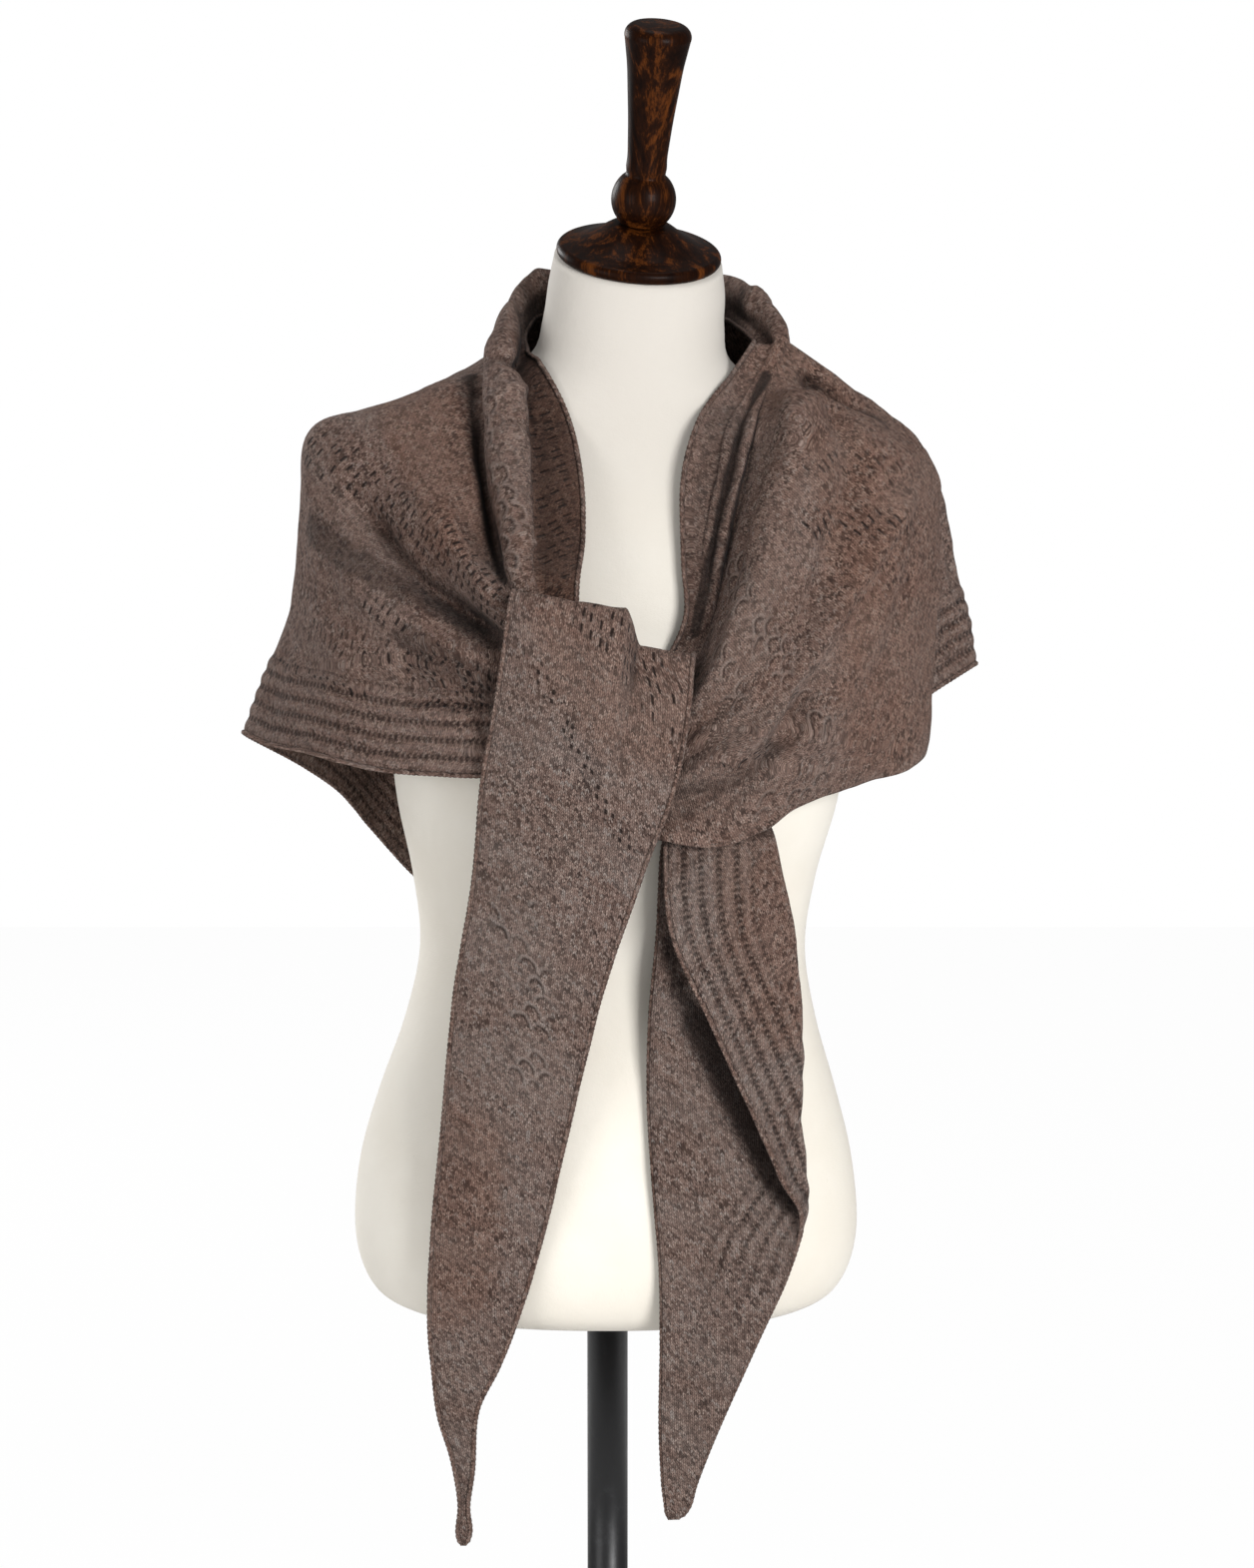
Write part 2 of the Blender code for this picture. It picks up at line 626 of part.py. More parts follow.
PLEAT_FROM, PLEAT_TO = 0.62, 0.70


def band_row(row):
    points = []
    for t in BAND_ACROSS:
        past = max(0, min(1, (t - PLEAT_FROM) / (PLEAT_TO - PLEAT_FROM)))
        past = past * past * (3 - 2 * past)
        right = Vector(row.right)
        left = Vector(row.left) + Vector((0, -row.step, row.drop))
        p = right.lerp(left, t) + Vector((0, row.step, -row.drop)) * past
        p.y -= row.bulge * 4 * t * (1 - t)
        points.append(at(*p))
    return points


def band_end(under, form_tree):
    net = [band_row(row) for row in BAND]
    stops = list(range(len(net)))
    grid = [[blend(stops, [row[c] for row in net], t) for c in range(len(BAND_ACROSS))]
            for t in steps(BAND_STEPS)]
    grid = clear_of(grid, form_tree, (WALL + FORM_GAP) * MM)
    lowered = in_front_of(grid[3:], under, (WALL + LAYER_GAP) * MM)
    grid = grid[:3] + lowered
    _, inner = cloth_faces(grid)
    return wall_solid("end_right", grid, inner)


# The other end, which comes out under the panel's lower fold. Each row is a section: its
# height, its two edges, how far in front it hangs, and the width folded to the front.
Hanging = namedtuple("Hanging", "h right left y folded")
HANGING = [
    Hanging(356, 46, 104, -122, 72),
    Hanging(334, 37, 111, -119.5, 83),
    Hanging(279, 34, 122.6, -114, 90),
    Hanging(221, 29, 128, -112, 70),
    Hanging(167, 28, 128.5, -112, 46),
    Hanging(119, 30.6, 131, -116, 27),
    Hanging(90, 33, 130.6, -118.5, 13),
    Hanging(50, 36, 119, -119, 0.5),
    Hanging(3, 36.6, 98.7, -118, 0),
    Hanging(-52, 36, 75, -117, 0),
    Hanging(-91, 37.4, 60, -116, 0),
    Hanging(-109, 39.5, 55, -116, 0),
    Hanging(-118.5, 40.5, 48.5, -116, 0),
]
HANGING_STEPS = [2, 3, 3, 3, 3, 2, 2, 2, 2, 2, 1, 1]
HANGING_ACROSS = 26
FOLD_RADIUS = 4.8


def hanging_stops(length, bend, share):
    """Places along a section, closer together at the bend by its share of a full one."""
    count = 400
    sums = [0.0]
    for k in range(count):
        s = length * (k + 0.5) / count
        sums.append(sums[-1] + 1 + 1.5 * share * math.exp(-((s - bend) / 9) ** 2))
    stops, k = [], 0
    for n in range(HANGING_ACROSS + 1):
        goal = sums[-1] * n / HANGING_ACROSS
        while k < count - 1 and sums[k + 1] < goal:
            k += 1
        stops.append(length * (k + (goal - sums[k]) / (sums[k + 1] - sums[k])) / count)
    return stops


def hanging_row(row):
    """Section from its right edge to the fold at its left, then back along the front."""
    flat = row.left - row.right - FOLD_RADIUS * min(1, row.folded / FOLD_RADIUS)
    bend = min(row.folded, math.pi * FOLD_RADIUS)
    points = []
    for s in hanging_stops(flat + row.folded, flat + bend / 2, min(1, row.folded / 15)):
        if s <= flat:
            x, y = row.right + s, row.y + 0.03 * flat * math.sin(math.pi * s / flat)
        elif s <= flat + bend:
            angle = (s - flat) / FOLD_RADIUS
            x = row.right + flat + FOLD_RADIUS * math.sin(angle)
            y = row.y - FOLD_RADIUS * (1 - math.cos(angle))
        else:
            x = row.right + flat - (s - flat - bend)
            y = row.y - 2 * FOLD_RADIUS
        points.append(at(x, y, row.h))
    return points


def edge_rib(row, column):
    """Height of the border's ridges along the free edge, lower where the cloth narrows."""
    spacing = (row[-1] - row[-2]).length / MM
    height = border_rib(len(row) - 1 - column)
    return height * max(0, min(1, (spacing - 2) / 2.5))


def hanging_end():
    net = [hanging_row(row) for row in HANGING]
    stops = list(range(len(net)))
    grid = [[blend(stops, [row[c] for row in net], t) for c in range(HANGING_ACROSS + 1)]
            for t in steps(HANGING_STEPS)]
    inward = normals(grid)
    inner = [[p + n * (WALL * MM) for p, n in zip(*pair)] for pair in zip(grid, inward)]
    ribbed = [[p - n * edge_rib(row, k) for k, (p, n) in enumerate(zip(row, ways))]
              for row, ways in zip(grid, inward)]
    return wall_solid("end_left", ribbed, inner)


# The bunched cloth inside the knot, hidden by the band: one row for each section.
Core = namedtuple("Core", "x y h half_depth half_height")
KNOT = [
    Core(-39, -138.5, 430, 3, 24),
    Core(-30, -139, 430, 8, 30),
    Core(-14, -139, 428, 12, 38),
    Core(3, -138, 424, 12.5, 46),
    Core(14, -137, 414, 11, 46),
    Core(20, -136.5, 408, 7, 36),
]
KNOT_SIDES = 16


def knot_core():
    rings = []
    for row in KNOT:
        ring = []
        for k in range(KNOT_SIDES):
            angle = 2 * math.pi * k / KNOT_SIDES
            ring.append(at(row.x, row.y + row.half_depth * math.cos(angle),
                           row.h + row.half_height * math.sin(angle)))
        rings.append(ring)
    return stacked("knot_core", rings, knit())


def build():
    for thing in list(bpy.data.objects):
        bpy.data.objects.remove(thing)
    torso = form()
    neck_cap()
    handle()
    stand()
    form_tree = tree_of(torso)
    worn = worn_pieces(form_tree)
    core = knot_core()
    hanging = hanging_end()
    under = [tree_of(piece) for piece in (*worn.values(), core, hanging)]
    band_end(under, form_tree)


build()
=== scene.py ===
"""The looks of a knitted scarf tied with a half knot on a limbless dress form.

Metres, +Z up. Sizes and tables are in millimetres, with heights above the form's
underside, and at() turns them into world points. The worn cloth is one continuous
sheet, and each hanging end is one more.
"""
import math
from collections import namedtuple

import bpy
import numpy as np
from mathutils import Euler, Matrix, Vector, noise
from mathutils.bvhtree import BVHTree


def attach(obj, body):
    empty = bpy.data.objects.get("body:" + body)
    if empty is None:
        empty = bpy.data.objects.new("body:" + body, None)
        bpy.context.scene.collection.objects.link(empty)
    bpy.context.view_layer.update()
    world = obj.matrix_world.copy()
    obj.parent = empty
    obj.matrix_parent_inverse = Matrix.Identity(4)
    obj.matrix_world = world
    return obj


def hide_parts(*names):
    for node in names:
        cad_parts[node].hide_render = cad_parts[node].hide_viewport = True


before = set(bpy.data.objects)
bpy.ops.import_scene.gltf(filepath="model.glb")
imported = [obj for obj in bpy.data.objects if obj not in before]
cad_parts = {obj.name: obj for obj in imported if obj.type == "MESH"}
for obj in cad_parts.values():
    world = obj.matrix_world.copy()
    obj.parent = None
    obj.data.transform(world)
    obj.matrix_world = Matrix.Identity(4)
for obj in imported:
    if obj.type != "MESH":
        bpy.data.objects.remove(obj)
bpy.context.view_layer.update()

MM = 0.001
FORM_LIFT = 275          # from the counter to the form's underside
WALL = 2.5               # thickness of the knitted cloth
FORM_GAP = 0.8           # gap between the cloth and the form, where it rests
LAYER_GAP = 0.9          # gap between cloth and the cloth that it lies over
RIB_PITCH = 11.5         # from one ridge of the knitted border to the next
RIB_HEIGHT = 1.05
RIB_COUNT = 5
STITCH_WIDTH = 2.8
STITCH_HEIGHT = 2.1
NECK_PITCH = 18          # degrees that the neck's top tips to the front
NECK_ROLL = 5            # degrees that it tips to the form's left
CAP_RADIUS = 55
BASE_RADIUS = 138
BASE_HEIGHT = 18
POLE_RADIUS = 14
ROUNDNESS = 2.25         # of the form's rings: 2 is an ellipse, and more is squarer


def at(points):
    """World points of places given in millimetres, heights above the form's underside."""
    return (np.asarray(points, float) + (0, 0, FORM_LIFT)) * MM


def unit(vectors):
    return vectors / np.maximum(np.linalg.norm(vectors, axis=-1, keepdims=True), 1e-12)


def spline(stops, values, where):
    """Smooth curve through values at stops, at each place where, with uneven steps."""
    stops, values, where = (np.asarray(a, float) for a in (stops, values, where))
    shape = (-1,) + (1,) * (values.ndim - 1)
    gaps = np.diff(stops)
    rise = np.diff(values, axis=0) / gaps.reshape(shape)
    before, after = gaps[:-1].reshape(shape), gaps[1:].reshape(shape)
    slope = np.empty_like(values)
    slope[0], slope[-1] = rise[0], rise[-1]
    slope[1:-1] = (rise[:-1] * after + rise[1:] * before) / (before + after)
    i = np.clip(np.searchsorted(stops, where, side="right") - 1, 0, len(gaps) - 1)
    span = gaps[i].reshape(shape)
    s = ((where - stops[i]) / gaps[i]).reshape(shape)
    return (values[i] * (2 * s ** 3 - 3 * s ** 2 + 1)
            + slope[i] * span * (s ** 3 - 2 * s ** 2 + s)
            + values[i + 1] * (3 * s ** 2 - 2 * s ** 3)
            + slope[i + 1] * span * (s ** 3 - s ** 2))


def between(rows, where):
    """Smooth curve through rows, at places counted in rows."""
    return spline(range(len(rows)), rows, where)


def refined(rows, count):
    """Smooth curve through rows, at an even count of places from the first to the last."""
    return between(rows, np.linspace(0, len(rows) - 1, count))


def lengths(line):
    """Distance of each point of a line from its start, along the first axis."""
    steps = np.linalg.norm(np.diff(line, axis=0), axis=-1)
    return np.concatenate([np.zeros_like(steps[:1]), np.cumsum(steps, axis=0)])


def lengths_across(grid):
    """Distance of each point of a grid from the start of its row."""
    return lengths(grid.swapaxes(0, 1)).swapaxes(0, 1)


def even_rows(net, column, count=None):
    """Row values of a net at count even distances down one of its columns, or without a
    count at distances of about SPACING, in fours."""
    fine = np.linspace(0, len(net) - 1, 2001)
    along = lengths(between(net[:, column], fine))
    if count is None:
        count = FLAT_THIN * round(along[-1] / (SPACING * MM) / FLAT_THIN)
    return np.interp(np.linspace(0, along[-1], count + 1), along, fine)


def smooth_step(low, high, values):
    share = np.clip((np.asarray(values, float) - low) / (high - low), 0, 1)
    return share * share * (3 - 2 * share)


def nearest(values, wanted):
    """Numbers of the values at the wanted ones, or next past them."""
    return np.clip(np.searchsorted(values, wanted), 0, len(values) - 1)


# Marks that a look reads from the cloth's points: openwork, scales, painted shade, a reddish cast
# of the yarn that is also painted shade on the front of the wearer's left shoulder, and the border
# with its ridges and the distance along the hem.
MARKS = ("holes", "dashes", "scales", "shade", "cast_and_shade", "border", "rib", "hem")
WORN_CAST = 0.42         # least reddish cast of the worn cloth and the small pieces
END_CAST = 0.16          # and of the hanging ends


def corner_points(mesh):
    """Number of the point at each corner of a mesh's faces."""
    corners = np.empty(len(mesh.loops), dtype=np.int32)
    mesh.loops.foreach_get("vertex_index", corners)
    return corners


def mesh_object(name, points, faces, look, uv=None, marks=None):
    """Smooth-shaded object. uv is one pair for each point, and marks are its attributes."""
    mesh = bpy.data.meshes.new(name)
    mesh.from_pydata([tuple(p) for p in points], [], faces)
    mesh.shade_smooth()
    mesh.materials.append(look)
    if uv is not None:
        pairs = np.asarray(uv, np.float32)[corner_points(mesh)]
        mesh.uv_layers.new(name="cloth").data.foreach_set("uv", pairs.ravel())
    for key, values in (marks or {}).items():
        mesh.attributes.new(key, "FLOAT", "POINT").data.foreach_set(
            "value", np.asarray(values, np.float32).ravel())
    made = bpy.data.objects.new(name, mesh)
    bpy.context.scene.collection.objects.link(made)
    return made


def stacked(name, rings, look, knitted=False):
    """Closed body through rings of equal length, each end filled from its middle. A knitted
    one takes its knitting coordinates from where its points are."""
    rings = np.asarray(rings)
    count, sides = rings.shape[:2]
    points = [*rings.reshape(-1, 3), rings[0].mean(axis=0), rings[-1].mean(axis=0)]
    bottom, top = len(points) - 2, len(points) - 1
    last = (count - 1) * sides
    faces, bottom_faces, top_faces = [], [], []
    for i in range(0, last, sides):
        for k in range(sides):
            n = (k + 1) % sides
            faces.append((i + k, i + n, i + sides + n, i + sides + k))
    for k in range(sides):
        n = (k + 1) % sides
        bottom_faces.append((n, k, bottom))
        top_faces.append((last + k, last + n, top))
    uv = marks = None
    if knitted:
        x, y, z = np.asarray(points, np.float32).T
        uv = np.stack([x + y, z], axis=1)
        marks = {key: np.zeros(len(points)) for key in MARKS}
        marks["cast_and_shade"] += WORN_CAST
    return mesh_object(name, points, faces + bottom_faces + top_faces, look, uv, marks)


# The form's rings, the same as its solid's.
Ring = namedtuple("Ring", "h half_width front back centre tip")
FORM_RINGS = [
    Ring(0, 128, 80, 82, -1, 0),
    Ring(4, 144, 92, 94, -1, 0),
    Ring(14, 159, 104, 106, -1, 0),
    Ring(34, 169, 112, 114, -1, 0),
    Ring(62, 172.5, 115, 120, -1, 0),
    Ring(105, 168, 112, 120, -1, 0),
    Ring(150, 156, 107, 112, 0, 0),
    Ring(200, 140, 99, 96, 2, 0),
    Ring(250, 131, 93, 80, 3.6, 0),
    Ring(300, 137, 101, 82, 5, 0),
    Ring(350, 149, 116, 89, 7, 0),
    Ring(400, 155, 126, 93, 8, 0),
    Ring(440, 158, 124, 97, 8.5, 0),
    Ring(480, 162, 108, 99, 9, 0),
    Ring(520, 171, 92, 99, 9.5, 0),
    Ring(555, 184, 78, 92, 10, 0),
    Ring(580, 190, 67, 81, 10, 0),
    Ring(598, 177, 61, 75, 11, 0),
    Ring(613, 143, 58, 70, 12, 0.1),
    Ring(627, 98, 56, 66, 14, 0.22),
    Ring(646, 67, 55, 61, 16, 0.42),
    Ring(670, 60.5, 54, 56, 18, 0.7),
    Ring(692, 59, 53, 54, 20, 0.9),
    Ring(711, 56, 52, 52, 21, 1.0),
]
FORM_SIDES = 108
RINGS_PER_SPAN = 5
TURNED_SIDES = 96


def tipped(share=1.0):
    """Turn of the neck's top, or a share of it."""
    return Euler((math.radians(NECK_PITCH * share), math.radians(NECK_ROLL * share), 0))


def form_body(look):
    """The covered form, its rings read from a smooth curve through the table's."""
    angles = 2 * math.pi * np.arange(FORM_SIDES) / FORM_SIDES
    c, s = np.cos(angles), np.sin(angles)
    rings = []
    for row in refined(FORM_RINGS, RINGS_PER_SPAN * (len(FORM_RINGS) - 1) + 1):
        ring = Ring(*row)
        x = np.sign(c) * np.abs(c) ** (2 / ROUNDNESS) * ring.half_width
        y = np.sign(s) * np.abs(s) ** (2 / ROUNDNESS) * np.where(s > 0, ring.back, ring.front)
        turn = np.array(tipped(ring.tip).to_matrix())
        flat = np.stack([x, y, np.zeros_like(x)], axis=1) @ turn.T
        rings.append(at(flat + (ring.centre, 0, ring.h)))
    return stacked("form_cover", rings, look)


def arc(centre_r, centre_h, radius, start, end, steps):
    """Profile points on an arc, angles in degrees from the outward direction."""
    angles = np.radians(np.linspace(start, end, steps + 1))
    return [(centre_r + radius * math.cos(a), centre_h + radius * math.sin(a)) for a in angles]


def turned(name, profile, look, place=(0, 0, 0), turn=Euler(), finer=1):
    """Body turned on a lathe from (radius, height) pairs, then placed. A finer one has more
    rings, on a smooth curve through the pairs."""
    along = lengths(np.array(profile, float))
    where = np.arange((len(along) - 1) * finer + 1) / finer
    where = np.interp(where, np.arange(len(along)), along)
    angles = 2 * math.pi * np.arange(TURNED_SIDES) / TURNED_SIDES
    spin = np.array(turn.to_matrix())
    rings = []
    for radius, height in spline(along, profile, where):
        ring = np.stack([radius * np.cos(angles), radius * np.sin(angles),
                         np.full(TURNED_SIDES, height)], axis=1)
        rings.append(ring @ spin.T * MM + np.array(place))
    return stacked(name, rings, look)


def cap_and_handle(look):
    """The turned rim and dome that close the neck, and the grip that stands on them."""
    rim = [(46, 0.3)] + arc(CAP_RADIUS - 4.5, 4.8, 4.5, -90, 90, 8)
    rim += [(46, 10.5), (41, 12), (35, 15), (28, 19), (23, 22.5), (19.5, 24.5), (13, 25)]
    grip = [(12, 25.2), (16, 27)] + arc(0, 42, 21.5, -38, 52, 10)
    grip += [(13.5, 64), (13.2, 70), (13.8, 81), (15, 97), (16.8, 115), (18.8, 133.5),
             (20.4, 143), (21.6, 150)]
    grip += arc(14.5, 152, 7.5, 0, 80, 6)
    neck_top = FORM_RINGS[-1]
    place = at((neck_top.centre, 0, neck_top.h))
    return [turned(name, profile, look, place, tipped(), finer=3)
            for name, profile in (("cap_turning", rim), ("grip", grip))]


def stand_parts(wood, steel):
    foot = [(BASE_RADIUS - 2, 0), (BASE_RADIUS, 2), (BASE_RADIUS, BASE_HEIGHT - 5)]
    foot += arc(BASE_RADIUS - 5, BASE_HEIGHT - 5, 5, 15, 90, 6)
    foot += [(34, BASE_HEIGHT)]
    collar = BASE_HEIGHT + 0.2
    pole = [(30, collar), (30, collar + 5), (27, collar + 8), (POLE_RADIUS, collar + 12),
            (POLE_RADIUS, FORM_LIFT - 14), (24, FORM_LIFT - 10), (26, FORM_LIFT - 5),
            (26, FORM_LIFT - 0.3)]
    return turned("stand_base", foot, wood), turned("stand_pole", pole, steel)


# The worn cloth's stations, the same as its solids'. They run from the knot over the
# wearer's right shoulder, round the back, to the knot again.
# Collar columns: its foot (x, y, h); heading, the direction from there to the neck, in
# degrees from +X; lean, how far its outward direction points up, in degrees; the roll's
# width and height; the inner flap's width, and how far it stands out.
Collar = namedtuple("Collar", "name x y h heading lean roll_width roll_height flap flap_out")
COLLAR = [
    Collar("under_band_right", -45, -141, 478, 0, 10, 14, 1, 12, 0.2),
    Collar("band_edge_right", -62, -138, 508, 4, 10, 18, 11, 26, 0),
    Collar("breast_right", -69, -108, 533, 2, 12, 23, 30, 31, 6),
    Collar("chest_right", -77, -82, 569, 0, 14, 29, 33, 32, 6),
    Collar("collarbone_right", -80, -56, 604, 0, 20, 30, 34, 26, 7),
    Collar("neck_right", -82, -28, 634, 0, 42, 24, 30, 18, 8),
    Collar("shoulder_right", -78, -2, 644, 0, 64, 20, 29, 5, 8),
    Collar("back_right", -68, 34, 656, -35, 80, 18, 32, 1, 9),
    Collar("nape_right", -50, 67, 664, -62, 86, 20, 38, 1, 10),
    Collar("nape", 16, 86, 664, -90, 86, 23, 40, 1, 10),
    Collar("nape_left", 82, 68, 664, -124, 86, 21, 37, 1, 9),
    Collar("back_left", 105, 38, 660, -148, 84, 17, 31, 3, 6),
    Collar("wing", 119, 14, 655, -168, 76, 15, 23, 6, 2),
    Collar("fold", 122, 0, 655, -176, 60, 14, 13, 12, -1),
    Collar("shoulder_left", 121, -14, 655, -180, 34, 12, 6, 12, 2),
    Collar("neck_left", 111, -32, 633, 180, 14, 15, 4, 15, 3),
    Collar("collarbone_left", 98, -62, 608, 180, 12, 18, 4, 19, 3),
    Collar("chest_left", 90, -80, 570, 180, 10, 20, 4, 20, 3),
    Collar("breast_left", 78, -98, 520, 180, 10, 16, 3, 12, 2),
    Collar("band_edge_left", 69, -115, 482, 180, 10, 12, 1, 6, 1),
    Collar("under_band_left", 50, -129, 444, 180, 10, 12, 1, 6, 1),
]
# Panel columns, each a point (x, y, h) of the station's line below the collar's foot.
Panel = namedtuple("Panel", "name slope bend chest low border hem")
PANEL = [
    Panel("under_band_right", (-45.5, -141, 466), (-46, -142, 452), (-47, -141, 432),
          (-50, -139, 412), (-52, -138, 399), (-54, -137, 388)),
    Panel("band_edge_right", (-61, -144, 490), (-62, -147, 471), (-65, -147, 450),
          (-70, -145, 421), (-74, -143, 401), (-77, -140, 384)),
    Panel("breast_right", (-86, -114, 530), (-102, -119, 508), (-113.5, -122, 478),
          (-125, -123, 438), (-132, -121, 410), (-139, -118, 384)),
    Panel("chest_right", (-93, -92, 566), (-125, -100, 534), (-142, -106, 498),
          (-154, -105, 445), (-163, -102, 412), (-170, -98, 387)),
    Panel("collarbone_right", (-109, -64, 596), (-146, -76, 560), (-166, -84, 515),
          (-179, -83, 460), (-189, -79, 424), (-198, -74, 391)),
    Panel("neck_right", (-120, -36, 622), (-180, -42, 590), (-194, -46, 532),
          (-205, -43, 466), (-217, -39, 426), (-226, -34, 391)),
    Panel("shoulder_right", (-142, -2, 618), (-197, 0, 599), (-206, 2, 548),
          (-214, 5, 482), (-230, 7, 433), (-245, 8, 392)),
    Panel("back_right", (-118, 45, 620), (-170, 60, 592), (-187, 70, 545),
          (-190, 76, 450), (-189, 78, 394), (-188, 78, 344)),
    Panel("nape_right", (-77, 78, 637), (-102, 89, 598), (-115, 102, 540),
          (-121, 111, 420), (-124, 113, 335), (-126, 113, 268)),
    Panel("nape", (14, 92, 640), (10, 99, 598), (5, 109, 530),
          (0, 117, 390), (-6, 120, 285), (-12, 121, 192)),
    Panel("nape_left", (101, 78, 638), (121, 89, 600), (131, 102, 542),
          (138, 111, 448), (142, 113, 384), (144, 113, 328)),
    Panel("back_left", (148, 47, 626), (190, 58, 600), (207, 70, 550),
          (217, 80, 482), (218, 85, 440), (214, 88, 402)),
    Panel("wing", (168, 18, 616), (217, 20, 577), (236, 38, 516),
          (246, 47, 476), (251, 50, 454), (254, 50, 436)),
    Panel("fold", (172, 4, 614), (216, 6, 577), (216, 4, 525),
          (210, 4, 468), (208, 5, 436), (208, 8, 412)),
    Panel("shoulder_left", (180, -8, 614), (218, -10, 575), (222, -16, 536),
          (219.5, -21, 458), (216.5, -22, 391), (206, -13, 398)),
    Panel("neck_left", (156, -44, 617), (199, -50, 582), (209, -56, 534),
          (208, -57, 450), (204, -52, 379), (193, -42, 390)),
    Panel("collarbone_left", (124, -80, 614), (166, -86, 577), (185, -88, 532),
          (189, -87, 446), (176, -77, 374), (165, -66, 386)),
    Panel("chest_left", (101, -112, 556), (127, -126, 520), (141, -130, 485),
          (143, -130, 426), (128, -127, 364), (121, -121, 376)),
    Panel("breast_left", (87, -127, 510), (107, -139, 484), (118, -142, 456),
          (119, -142, 410), (102, -140, 350), (98, -134, 361)),
    Panel("band_edge_left", (73, -139, 474), (87, -149, 451), (95, -152, 426),
          (92, -151, 390), (72, -145, 339), (68, -138.5, 350)),
    Panel("under_band_left", (51, -140, 430), (46, -143, 411), (40, -144, 392),
          (36, -144, 374), (30, -141, 344), (27, -137.5, 352)),
]
STATION = {row.name: k for k, row in enumerate(COLLAR)}

SPACING = 3.2            # between the points of the worn cloth, sideways
SPACED_COLUMN = 4        # of the panels' table, where that spacing is measured
COLLAR_ROWS = 28         # rows of points from the collar's free edge to its foot
PANEL_ROWS = 78          # from there to the border
BORDER_ROWS = 34         # in the border
FREE_EDGE = -0.4         # level of the collar's free edge: its foot is at 0, the hem at 1
BORDER_FADE = (12.6, 13.0)     # stations between which the border comes to an end
FULL_ROLL = 0.8          # height of a full roll for its width, below which it is flatter
FLAT_FLAP = 12           # width of the narrowest flap that lies flat
FLAT_THIN = 4            # every fourth point is laid flat, and the rest follow
FLATTEN_STEPS = 500
FLATTEN_PULL = 0.2       # share of a length's error that each end takes up in a step
SMOOTH_EVERY = 4         # steps of laying flat, between which it is smoothed once
# Stations between which a row of stitches runs level, on each side of the middle.
RIGHT_LEVEL, LEFT_LEVEL = (2, 6), (14.5, 18.5)

